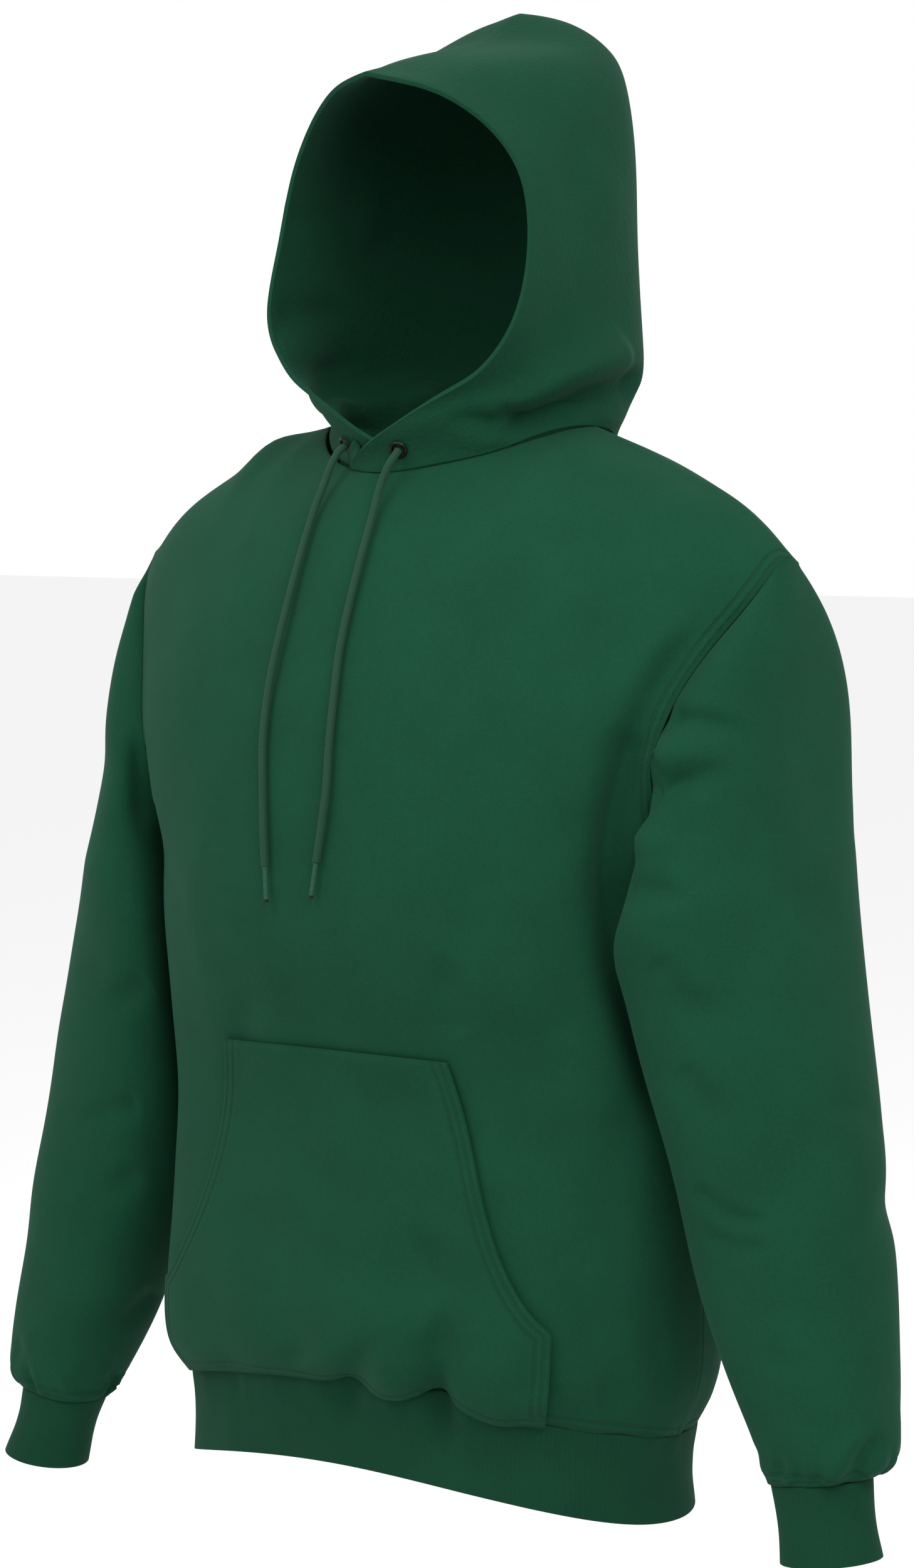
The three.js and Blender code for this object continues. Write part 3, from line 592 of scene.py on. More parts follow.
FLEECE = Fleece("bottle_green_fleece", (0.0042, 0.0360, 0.0178))
RIB = Rib("bottle_green_rib", (0.0036, 0.0300, 0.0148))
THREAD = Thread("bottle_green_thread", (0.0034, 0.0225, 0.0112))
CORD = Braid("bottle_green_cord", (0.0060, 0.0340, 0.0180))
TIP = Thread("pale_wrapped_tip", (0.0100, 0.0460, 0.0270))
TIP_END = Thread("dark_cord_end", (0.0040, 0.0060, 0.0050))
METAL = DarkMetal("dark_eyelet_metal", (0.0200, 0.0170, 0.0150))


# Meshes


def object_of(name: str, bm: bmesh.types.BMesh, finish: Finish) -> bpy.types.Object:
    """Makes an object of a bmesh at the origin, smooth-shaded, in a finish.

    Args:
        name: the piece's name.
        bm: its mesh, which is freed.
        finish: its material.

    Returns:
        The object, linked to the scene.
    """
    mesh = bpy.data.meshes.new(name)
    bm.to_mesh(mesh)
    bm.free()
    mesh.shade_smooth()
    mesh.materials.append(finish.material())
    made = bpy.data.objects.new(name, mesh)
    bpy.context.scene.collection.objects.link(made)
    return made


def with_modifier(bm: bmesh.types.BMesh, kind: str, **settings: object) -> bmesh.types.BMesh:
    """The bmesh after one modifier, which isn't kept live.

    Args:
        bm: the mesh, which is freed.
        kind: the modifier's type.
        settings: its settings.

    Returns:
        The new bmesh.
    """
    mesh = bpy.data.meshes.new("work")
    bm.to_mesh(mesh)
    bm.free()
    work = bpy.data.objects.new("work", mesh)
    bpy.context.scene.collection.objects.link(work)
    modifier = work.modifiers.new("work", kind)
    for key, value in settings.items():
        setattr(modifier, key, value)
    graph = bpy.context.evaluated_depsgraph_get()
    out = bmesh.new()
    out.from_object(work, graph)
    bpy.data.objects.remove(work)
    bpy.data.meshes.remove(mesh)
    return out


def arrays(bm: bmesh.types.BMesh) -> tuple[np.ndarray, np.ndarray]:
    """The vertices' places and normals as rows."""
    bm.normal_update()
    return (
        np.array([v.co for v in bm.verts], float).reshape(-1, 3),
        np.array([v.normal for v in bm.verts], float).reshape(-1, 3),
    )


def rail(bm: bmesh.types.BMesh) -> list[list[bmesh.types.BMVert]]:
    """The open mesh's boundaries, each as its vertices in order, the first repeated at the end."""
    left = {e for e in bm.edges if e.is_boundary}
    loops = []
    while left:
        edge = min(left, key=lambda e: e.index)
        left.discard(edge)
        line = [edge.verts[0], edge.verts[1]]
        while line[-1] is not line[0]:
            following = next((e for e in line[-1].link_edges if e in left), None)
            if following is None:
                break
            left.discard(following)
            line.append(following.other_vert(line[-1]))
        loops.append(line)
    return loops


@dataclass
class Edge:
    """A stretch of a piece's boundary, as places on it and the cloth's normals there."""

    points: np.ndarray
    normals: np.ndarray
    closed: bool = False

    def inward(self, surface: BVHTree) -> np.ndarray:
        """The direction in the cloth, away from the edge, at each point.

        Args:
            surface: the piece's skin.

        Returns:
            Rows of unit directions.
        """
        along = np.gradient(self.points, axis=0)
        if self.closed:
            along[0] = along[-1] = self.points[1] - self.points[-2]
        along /= np.maximum(np.linalg.norm(along, axis=1), 1e-9)[:, None]
        way = np.cross(self.normals, along)
        way /= np.maximum(np.linalg.norm(way, axis=1), 1e-9)[:, None]
        votes = 0
        for p, w in zip(self.points[::5], way[::5]):
            ahead = surface.find_nearest(Vector(p + w * 0.006))[3]
            behind = surface.find_nearest(Vector(p - w * 0.006))[3]
            votes += 1 if ahead < behind else -1
        return way if votes > 0 else -way


def even_steps(points: np.ndarray, step: float) -> np.ndarray:
    """The line's points again, a step apart, in metres."""
    lengths = np.linalg.norm(np.diff(points, axis=0), axis=1)
    start = np.concatenate([[0.0], np.cumsum(lengths)])
    count = max(2, int(round(start[-1] / step)))
    at = np.linspace(0.0, start[-1], count + 1)
    return np.stack([np.interp(at, start, points[:, k]) for k in range(points.shape[1])], 1)


@dataclass(frozen=True)
class Stitching:
    """Lockstitch: short beads of thread that sink into the cloth at both ends."""

    pitch: float = 3.1 * MM
    length: float = 2.5 * MM
    width: float = 0.8 * MM
    sunk: float = 0.12 * MM

    def bead(self) -> bpy.types.Mesh:
        """One stitch along X, at the origin."""
        bm = bmesh.new()
        bmesh.ops.create_uvsphere(bm, u_segments=6, v_segments=4, radius=0.5)
        bmesh.ops.rotate(bm, matrix=Matrix.Rotation(math.pi / 2, 3, "Y"), verts=bm.verts)
        size = (self.length, self.width, self.width * 0.7)
        bmesh.ops.scale(bm, vec=size, verts=bm.verts)
        mesh = bpy.data.meshes.new("bead")
        bm.to_mesh(mesh)
        bm.free()
        return mesh

    def sew(self, name: str, lines: list[np.ndarray], surface: BVHTree) -> bpy.types.Object:
        """Sews lines of stitches on a surface.

        Args:
            name: the piece's name.
            lines: the lines, as rows of points near the surface.
            surface: the cloth's outer skin.

        Returns:
            One object of all the stitches.
        """
        bead = self.bead()
        out = bmesh.new()
        for line in lines:
            places = even_steps(line, self.pitch)
            for a, b in zip(places[:-1], places[1:]):
                hit = surface.find_nearest(Vector((a + b) / 2))
                along = Vector(b - a)
                if hit[0] is None or along.length < 0.4 * self.pitch:
                    continue
                up = hit[1].normalized()
                along = (along - up * along.dot(up)).normalized()
                turn = Matrix((along, up.cross(along), up)).transposed().to_4x4()
                stitch = bead.copy()
                stitch.transform(Matrix.Translation(hit[0] - up * self.sunk) @ turn)
                out.from_mesh(stitch)
                bpy.data.meshes.remove(stitch)
        bpy.data.meshes.remove(bead)
        return object_of(name, out, THREAD)


STITCHING = Stitching()
Keep = Callable[[np.ndarray], np.ndarray]


def everywhere(p: np.ndarray) -> np.ndarray:
    """All of an edge."""
    return np.ones(len(p), bool)


@dataclass
class Seam:
    """Twin stitch lines that run along part of a piece's boundary.

    Keep says which of the boundary's points the seam follows, and inset is the first line's distance in.
    """

    keep: Keep
    inset: float = 2.4 * MM


@dataclass
class Cloth:
    """One cut piece of cloth, made from its solid's outer skin."""

    node: str
    flat: tuple[float, float]
    area: float
    held: str = "draped"
    thickness: float = BODY_CLOTH
    levels: int = 3
    finish: Finish = FLEECE
    material_slot: str = "fleece"
    core: tuple[float, float] | None = (0.0, 0.0)
    creases: list[Crease] = field(default_factory=list)
    seams: list[Seam] = field(default_factory=list)
    ripple: Ripple | None = Ripple()
    corner_angle: float = math.radians(28)
    gather: float = 0.0  # millimetres
    gathered: Keep | None = None
    joined: float = 0.0
    turned: Keep = everywhere
    turn_steps: tuple[tuple[float, float], ...] = ((0.45 * MM, 0.5 * MM), (0.15 * MM, 1.6 * MM))

    def skin(self) -> bmesh.types.BMesh:
        """The solid's outer skin, in four-sided faces where its triangles pair up."""
        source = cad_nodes()[self.node].data
        bm = bmesh.new()
        bm.from_mesh(source)
        bmesh.ops.remove_doubles(bm, verts=bm.verts, dist=2e-6)
        gone = {
            f
            for e in bm.edges
            if abs(e.calc_length() - self.thickness) < 6e-6
            for f in e.link_faces
        }
        bmesh.ops.delete(bm, geom=list(gone), context="FACES_KEEP_BOUNDARY")
        self._drop_inner(bm)
        bmesh.ops.delete(bm, geom=[v for v in bm.verts if not v.link_faces], context="VERTS")
        bmesh.ops.join_triangles(
            bm,
            faces=bm.faces,
            cmp_seam=False,
            angle_face_threshold=math.pi,
            angle_shape_threshold=math.pi,
        )
        for v in bm.verts:
            if v.is_boundary and abs(v.co.x) < self.joined:
                v.co.x = 0.0
        corner = bm.verts.layers.float.new("crease_vert")
        for v in bm.verts:
            ends = [e.other_vert(v).co - v.co for e in v.link_edges if e.is_boundary]
            if len(ends) == 2 and ends[0].angle(-ends[1]) > self.corner_angle:
                v[corner] = 1.0
        return bm

    def _drop_inner(self, bm: bmesh.types.BMesh) -> None:
        """Deletes every connected part but the outer skin."""
        left = set(bm.faces)
        parts = []
        while left:
            start = left.pop()
            found = [start]
            todo = [start]
            while todo:
                face = todo.pop()
                for e in face.edges:
                    for other in e.link_faces:
                        if other in left:
                            left.discard(other)
                            found.append(other)
                            todo.append(other)
            parts.append(found)
        parts.sort(key=len, reverse=True)
        parts = parts[:2]
        kept = max(parts, key=self._outwardness)
        spare = [f for f in bm.faces if f not in set(kept)]
        bmesh.ops.delete(bm, geom=spare, context="FACES")

    def _outwardness(self, faces: list[bmesh.types.BMFace]) -> float:
        """How far the faces look away from the hollow that they surround."""
        middles = np.array([f.calc_center_median() for f in faces])
        normals = np.array([f.normal for f in faces])
        areas = np.array([f.calc_area() for f in faces])
        if self.core is not None:
            away = middles[:, :2] - np.array(self.core)
        else:
            away = np.zeros((len(faces), 2))
            for k, m in enumerate(middles):
                near = np.abs(middles[:, 2] - m[2]) < 0.03
                away[k] = m[:2] - middles[near, :2].mean(0)
        return float((np.einsum("ij,ij->i", away, normals[:, :2]) * areas).sum())

    def build(self) -> bpy.types.Object:
        bm = self.skin()
        coarse = len(bm.faces)
        bm = with_modifier(
            bm, "SUBSURF", levels=self.levels, render_levels=self.levels,
            boundary_smooth="PRESERVE_CORNERS",
        )
        seam_points = self._seam_points(bm)
        self._crease(bm, seam_points)
        surface = BVHTree.FromBMesh(bm)
        lines = self._stitch_lines(bm, surface)
        bm = self._thicken(self._roll(bm))
        self._map(bm)
        piece = object_of(f"{self.node}_cloth", bm, self.finish)
        self._mark(piece, SEAM, seam_points, 0.0)
        for seam in self.seams:
            along = seam_points[seam.keep(seam_points)]
            if len(along):
                self._mark(piece, STITCHED, along, seam.inset)
        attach(piece, "root")
        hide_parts(self.node)
        if lines:
            sewn = STITCHING.sew(f"{self.node}_stitches", lines, surface)
            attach(sewn, "root")
        LOG.info(
            "%s: %d faces in the skin, %d in the cloth, %d lines of stitches",
            self.node, coarse, len(piece.data.polygons), len(lines),
        )
        return piece

    def _seam_points(self, bm: bmesh.types.BMesh) -> np.ndarray:
        """Points along the whole boundary, about a millimetre apart."""
        rows = [
            even_steps(np.array([v.co for v in line], float), 1.2 * MM) for line in rail(bm)
        ]
        return np.vstack(rows)

    def _distances(self, points: np.ndarray, seam_points: np.ndarray) -> np.ndarray:
        """Each point's distance from the seams, in millimetres, no more than the reach."""
        tree = KDTree(len(seam_points))
        for i, p in enumerate(seam_points):
            tree.insert(p, i)
        tree.balance()
        found = np.array([tree.find(p)[2] for p in points])
        return np.minimum(found / MM, SEAM_REACH_MM)

    def _crease(self, bm: bmesh.types.BMesh, seam_points: np.ndarray) -> None:
        """Moves the skin by its creases and its soft unevenness."""
        points, normals = arrays(bm)
        moved = np.zeros(len(points))
        pulled = np.zeros((len(points), 3))
        far = self._distances(points, seam_points)
        calm = eased(far / 22.0)
        if self.ripple is not None:
            moved += self.ripple.offsets(points) * calm
        for crease in self.creases:
            share = np.ones(len(points)) if crease.through_seams else 0.25 + 0.75 * eased(far / 9.0)
            pulled += crease.offsets(points, normals) * share[:, None]
        if self.gather and self.gathered is not None:
            chosen = seam_points[self.gathered(seam_points)]
            if len(chosen):
                near = self._distances(points, chosen)
                around = np.arctan2(points[:, 1] - points[:, 1].mean(), points[:, 0] - points[:, 0].mean())
                beat = np.sin(around * 31 + 2.1 * np.sin(around * 5)) + 0.6 * np.sin(around * 53 + 1.3)
                swell = eased(near / 4.0) * (1 - eased((near - 5.0) / 26.0))
                moved += self.gather * MM * beat * swell
        for v, n, m, way in zip(bm.verts, normals, moved, pulled):
            v.co += Vector(n) * m + Vector(way)
        bm.normal_update()

    def _stitch_lines(self, bm: bmesh.types.BMesh, surface: BVHTree) -> list[np.ndarray]:
        """The stitch lines of the piece's seams, a little inside its boundary."""
        lines = []
        rails = rail(bm)
        for seam in self.seams:
            for loop in rails:
                points = np.array([v.co for v in loop], float)
                normals = np.array([v.normal for v in loop], float)
                both = even_steps(np.hstack([points, normals]), 1.5 * MM)
                for run in runs_of(seam.keep(both[:, :3]), closed=loop[0] is loop[-1]):
                    if len(run) < 12:
                        continue
                    edge = Edge(both[run, :3], both[run, 3:])
                    way = edge.inward(surface)
                    for offset in (seam.inset, seam.inset + STITCH_ROWS):
                        lines.append(edge.points + way * offset)
        return lines

    def _roll(self, bm: bmesh.types.BMesh) -> bmesh.types.BMesh:
        """Turns the sewn edges under, so that pieces meet in a soft groove."""
        surface = BVHTree.FromBMesh(bm)
        ways = {}
        for loop in rail(bm):
            both = np.array([(*v.co, *v.normal) for v in loop], float)
            out = -Edge(both[:, :3], both[:, 3:], loop[0] is loop[-1]).inward(surface)
            kept = self.turned(both[:, :3])
            ways.update({v: (Vector(o), -v.normal) for v, o, k in zip(loop, out, kept) if k})
        for reach, drop in self.turn_steps:
            edges = [e for e in bm.edges if e.is_boundary and all(v in ways for v in e.verts)]
            made = bmesh.ops.extrude_edge_only(bm, edges=edges)["geom"]
            grown = {}
            for v in (g for g in made if isinstance(g, bmesh.types.BMVert)):
                source = next(w for e in v.link_edges if (w := e.other_vert(v)) in ways)
                out, under = ways[source]
                v.co = source.co + out * reach + under * drop
                grown[v] = (out, under)
            ways = grown
        bm.normal_update()
        return bm

    def _thicken(self, bm: bmesh.types.BMesh) -> bmesh.types.BMesh:
        """Gives the skin its thickness, inwards, with a rounded edge."""
        bm = with_modifier(
            bm, "SOLIDIFY", thickness=self.thickness, offset=-1.0, use_even_offset=False,
            use_rim=True,
        )
        bm.normal_update()
        sharp = [
            e for e in bm.edges
            if len(e.link_faces) == 2 and e.calc_face_angle(0.0) > math.radians(62)
        ]
        bmesh.ops.bevel(
            bm, geom=sharp, offset=0.24 * self.thickness, offset_type="OFFSET", segments=2,
            profile=0.5, affect="EDGES", material=-1, clamp_overlap=True,
        )
        return bm

    def _map(self, bm: bmesh.types.BMesh) -> None:
        """Maps the cloth in millimetres: round the hollow, and up."""
        layer = bm.loops.layers.uv.new(CLOTH_UV)
        points = np.array([v.co for v in bm.verts], float)
        middle = np.array(self.core) if self.core is not None else None
        bins = np.round(points[:, 2] / 0.02).astype(int)
        centres = {b: points[bins == b, :2].mean(0) for b in np.unique(bins)}
        bm.verts.index_update()
        around = np.zeros(len(points))
        radius = 0.0
        for i, p in enumerate(points):
            c = middle if middle is not None else centres[bins[i]]
            around[i] = math.atan2(p[0] - c[0], p[1] - c[1] + 1e-9)
            radius += math.hypot(p[0] - c[0], p[1] - c[1])
        radius /= len(points)
        count = round(2 * math.pi * radius / MM / 2.6) * 2.6
        for face in bm.faces:
            turns = [around[loop.vert.index] for loop in face.loops]
            high = max(turns)
            for loop, turn in zip(face.loops, turns):
                if high - turn > math.pi:
                    turn += 2 * math.pi
                loop[layer].uv = (turn / (2 * math.pi) * count, loop.vert.co.z / MM)

    def _mark(
        self, piece: bpy.types.Object, name: str, points: np.ndarray, inset: float
    ) -> None:
        """Stores each vertex's distance past a line along the seams, for the finish.

        Args:
            piece: the finished cloth.
            name: the attribute's name, whose smaller values stay where it exists already.
            points: places along the seams.
            inset: the line's distance in from them, in metres.
        """
        mesh = piece.data
        places = np.zeros(len(mesh.vertices) * 3)
        mesh.vertices.foreach_get("co", places)
        far = self._distances(places.reshape(-1, 3), points) - inset / MM
        attribute = mesh.attributes.get(name)
        if attribute is None:
            attribute = mesh.attributes.new(name, "FLOAT", "POINT")
        else:
            held = np.zeros(len(mesh.vertices), np.float32)
            attribute.data.foreach_get("value", held)
            far = np.minimum(far, held)
        attribute.data.foreach_set("value", far.astype(np.float32))


def runs_of(kept: np.ndarray, closed: bool) -> list[list[int]]:
    """The stretches of a line that are kept, as lists of indices.

    Args:
        kept: whether each point is kept.
        closed: whether the line's last point is its first.

    Returns:
        The stretches, one that passes the line's ends in one piece.
    """
    n = len(kept)
    if kept.all():
        return [list(range(n))]
    first = int(np.argmin(kept)) if closed else 0
    order = [(first + k) % n for k in range(n)]
    runs: list[list[int]] = [[]]
    for k in order:
        if kept[k]:
            runs[-1].append(k)
        elif runs[-1]:
            runs.append([])
    return [r for r in runs if r]


_NODES: dict[str, bpy.types.Object] = {}


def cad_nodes() -> dict[str, bpy.types.Object]:
    """The frame's solids by name."""
    return _NODES


# Where the garment's edges are


def at_armhole(p: np.ndarray) -> np.ndarray:
    """The panel's armhole edges."""
    return (np.abs(p[:, 0]) > 0.15) & (p[:, 2] > -0.297) & (p[:, 2] < -0.083)


def at_hem(p: np.ndarray) -> np.ndarray:
    """The panel's lower edge."""
    return (p[:, 2] < -0.612) & (np.abs(p[:, 1]) > 0.012)


def at_cuff_seam(p: np.ndarray) -> np.ndarray:
    """The sleeve's lower end."""
    return p[:, 2] < -0.6


def at_band_top(p: np.ndarray) -> np.ndarray:
    """The waistband's upper edge."""
    return p[:, 2] > -0.666


def at_cuff_top(p: np.ndarray) -> np.ndarray:
    """The cuffs' upper edges; the wearer's right one hangs lower."""
    return p[:, 2] > np.where(p[:, 0] > 0, -0.679, -0.706)


def at_neck(p: np.ndarray) -> np.ndarray:
    """The hood's lower edge."""
    return (p[:, 2] < -0.0155) | ((p[:, 1] > -0.03) & (p[:, 2] < 0.006))


def at_opening(p: np.ndarray) -> np.ndarray:
    """The pocket's slanted edges and the short upright ones below them."""
    return (np.abs(p[:, 0]) > 0.0915) & (p[:, 2] < -0.402) & (p[:, 2] > -0.6265)


def at_pocket_top(p: np.ndarray) -> np.ndarray:
    """The pocket's upper edge."""
    return (p[:, 2] > -0.402) & (np.abs(p[:, 0]) < 0.0925)


def at_pocket_hem(p: np.ndarray) -> np.ndarray:
    """The pocket's lower edge."""
    return (p[:, 2] < -0.6) & (np.abs(p[:, 0]) < 0.1475)


# The garment


FAR_SHOULDER = Crease(
    View.TOP, 30, 6.0, ((-178, 8), (-150, 5), (-122, 0), (-104, -8)), (0.5, 0.5), lips=0.0,
    through_seams=True,
)
HEM_PUCKERS = [
    Crease(
        View.PHOTO, 26, -11.0, ((718, 2065), (702, 2135), (692, 2212), (704, 2285), (716, 2350)),
        (0.35, 0.5), lips=0.2, through_seams=True, sink=-2.5,
    ),
    Crease(
        View.PHOTO, 34, 3.0, ((640, 2110), (624, 2170), (622, 2240), (636, 2320)), (0.4, 0.5),
        through_seams=True, sink=1.0,
    ),
    Crease(
        View.PHOTO, 46, 3.6, ((775, 2100), (785, 2190), (795, 2265), (798, 2340)), (0.4, 0.5),
        through_seams=True, sink=2.6,
    ),
    Crease(
        View.PHOTO, 26, -5.0, ((592, 2120), (572, 2175), (552, 2225), (546, 2290)), (0.4, 0.5),
        through_seams=True, sink=-1.5,
    ),
    Crease(
        View.PHOTO, 34, -3.0, ((985, 2150), (990, 2220), (992, 2280), (990, 2330)), (0.4, 0.5),
        through_seams=True, sink=-3.0,
    ),
    Crease(
        View.PHOTO, 30, -2.5, ((350, 2120), (362, 2170), (372, 2215), (380, 2270)), (0.4, 0.5),
        through_seams=True, sink=2.5,
    ),
]
POCKET_CREASES = [
    Crease(View.PHOTO, 60, -6.5, ((575, 2060), (650, 2020), (730, 1975)), (0.4, 0.4)),
    Crease(View.PHOTO, 44, 2.6, ((470, 1790), (560, 1840), (660, 1885)), (0.4, 0.4)),
    Crease(View.PHOTO, 26, -3.0, ((415, 2080), (465, 2130), (478, 2185)), (0.5, 0.2)),
    Crease(View.PHOTO, 30, -2.2, ((850, 2110), (848, 2180), (846, 2240)), (0.5, 0.2)),
    Crease(View.PHOTO, 40, -2.6, ((350, 1900), (420, 1960), (520, 1990)), (0.4, 0.5)),
    *HEM_PUCKERS,
]
NEAR_CREVICE = Crease(
    View.PHOTO, 30, -15.0,
    ((1030, 1120), (1008, 1200), (985, 1330), (982, 1420), (1000, 1540), (1035, 1680), (1062, 1830)),
    (0.12, 0.3), lips=0.0,
)


@dataclass
class Body:
    """Front, back, pocket and waistband."""

    def front(self) -> Cloth:
        """The front panel."""
        photo = View.PHOTO
        creases = [
            Crease(photo, 26, -5.0, ((1135, 985), (1085, 1040), (1045, 1100), (1018, 1165)), (0.4, 0.1)),
            Crease(photo, 34, 2.2, ((1090, 1000), (1020, 1070), (965, 1150)), (0.4, 0.4)),
            Crease(photo, 26, -2.6, ((690, 1500), (712, 1570), (738, 1650)), (0.5, 0.1)),
            Crease(photo, 24, -1.8, ((404, 1560), (394, 1610), (382, 1668)), (0.5, 0.1)),
            Crease(photo, 42, -1.6, ((980, 1260), (900, 1340), (800, 1400), (690, 1440)), (0.3, 0.5)),
            Crease(photo, 40, -1.4, ((330, 1180), (380, 1300), (400, 1420)), (0.5, 0.5)),
            Crease(photo, 46, -1.7, ((960, 1520), (890, 1640), (860, 1780)), (0.4, 0.4)),
            Crease(photo, 34, -2.4, ((1010, 1700), (985, 1860), (980, 2020)), (0.4, 0.4)),
            Crease(photo, 26, -2.2, ((930, 2060), (950, 2150), (975, 2260)), (0.5, 0.1)),
            Crease(photo, 22, -2.2, ((1040, 2060), (1050, 2160), (1052, 2240)), (0.5, 0.1)),
            Crease(photo, 30, -1.5, ((560, 1480), (640, 1530), (700, 1600)), (0.4, 0.4)),
            Crease(photo, 40, 1.5, ((760, 1560), (830, 1600), (930, 1620)), (0.5, 0.5)),
            *POCKET_CREASES,
            FAR_SHOULDER,
            NEAR_CREVICE,
            Crease(View.FRONT, 14, -3.0, ((-226, -190), (-214, -225), (-205, -262)), (0.4, 0.1)),
            Crease(View.FRONT, 16, -1.6, ((-200, -262), (-150, -300), (-110, -330)), (0.1, 0.5)),
        ]
        seams = [
            Seam(at_armhole),
            Seam(at_hem),
        ]
        return Cloth(
            "front", (0.62, 0.66), 0.36, creases=creases, seams=seams, gather=0.85,
            gathered=at_hem,
        )

    def back(self) -> Cloth:
        """The back panel."""
        back = View.BACK
        creases = [
            FAR_SHOULDER,
            Crease(back, 16, -3.2, ((-222, -215), (-170, -262), (-110, -290), (-50, -300)), (0.1, 0.5)),
            Crease(back, 18, -2.8, ((222, -222), (180, -258), (120, -292), (70, -310)), (0.1, 0.5)),
            Crease(back, 22, -2.0, ((-200, -330), (-130, -360), (-40, -370), (60, -352)), (0.3, 0.5)),
            Crease(back, 20, -1.8, ((190, -400), (110, -432), (20, -440)), (0.3, 0.5)),
            Crease(back, 13, -2.6, ((-130, -520), (-122, -575), (-118, -626)), (0.5, 0.1)),
            Crease(back, 13, -2.4, ((-40, -540), (-46, -590), (-42, -632)), (0.5, 0.1)),
            Crease(back, 13, -2.6, ((60, -530), (66, -580), (58, -632)), (0.5, 0.1)),
            Crease(back, 13, -2.2, ((140, -520), (132, -575), (138, -626)), (0.5, 0.1)),
            Crease(back, 24, 1.8, ((-90, -130), (-20, -160), (60, -140)), (0.4, 0.4)),
            Crease(back, 30, -1.8, ((-150, -70), (-120, -120), (-128, -180)), (0.4, 0.4)),
            Crease(back, 30, -1.6, ((150, -70), (124, -120), (130, -175)), (0.4, 0.4)),
        ]
        seams = [
            Seam(at_armhole),
            Seam(at_hem),
        ]
        return Cloth(
            "back", (0.62, 0.68), 0.35, creases=creases, seams=seams, gather=0.85,
            gathered=at_hem, ripple=Ripple(seed=8),
        )

    def pocket(self) -> Cloth:
        """The kangaroo pocket."""
        seams = [
            Seam(at_opening, 4.0 * MM),
            Seam(at_pocket_top),
            Seam(at_pocket_hem),
        ]
        return Cloth(
            "pocket", (0.33, 0.24), 0.062, creases=POCKET_CREASES, seams=seams, held="stretched",
        )

    def waistband(self) -> Cloth:
        """The waistband."""
        photo = View.PHOTO
        creases = [
            *HEM_PUCKERS,
            Crease(photo, 24, -1.0, ((540, 2215), (548, 2260), (552, 2310)), (0.2, 0.5)),
            Crease(photo, 24, -1.2, ((880, 2290), (890, 2340), (885, 2400)), (0.2, 0.5)),
        ]
        return Cloth(
            "waistband", (0.95, 0.06), 0.057, held="stretched", thickness=RIB_CLOTH, finish=RIB,
            material_slot="rib", creases=creases, ripple=Ripple(height=0.7 * MM, seed=6),
            gather=0.35, gathered=at_band_top, turned=at_band_top,
        )

    def build(self) -> None:
        """Builds the four pieces."""
        for cloth in (self.front(), self.back(), self.pocket(), self.waistband()):
            cloth.build()


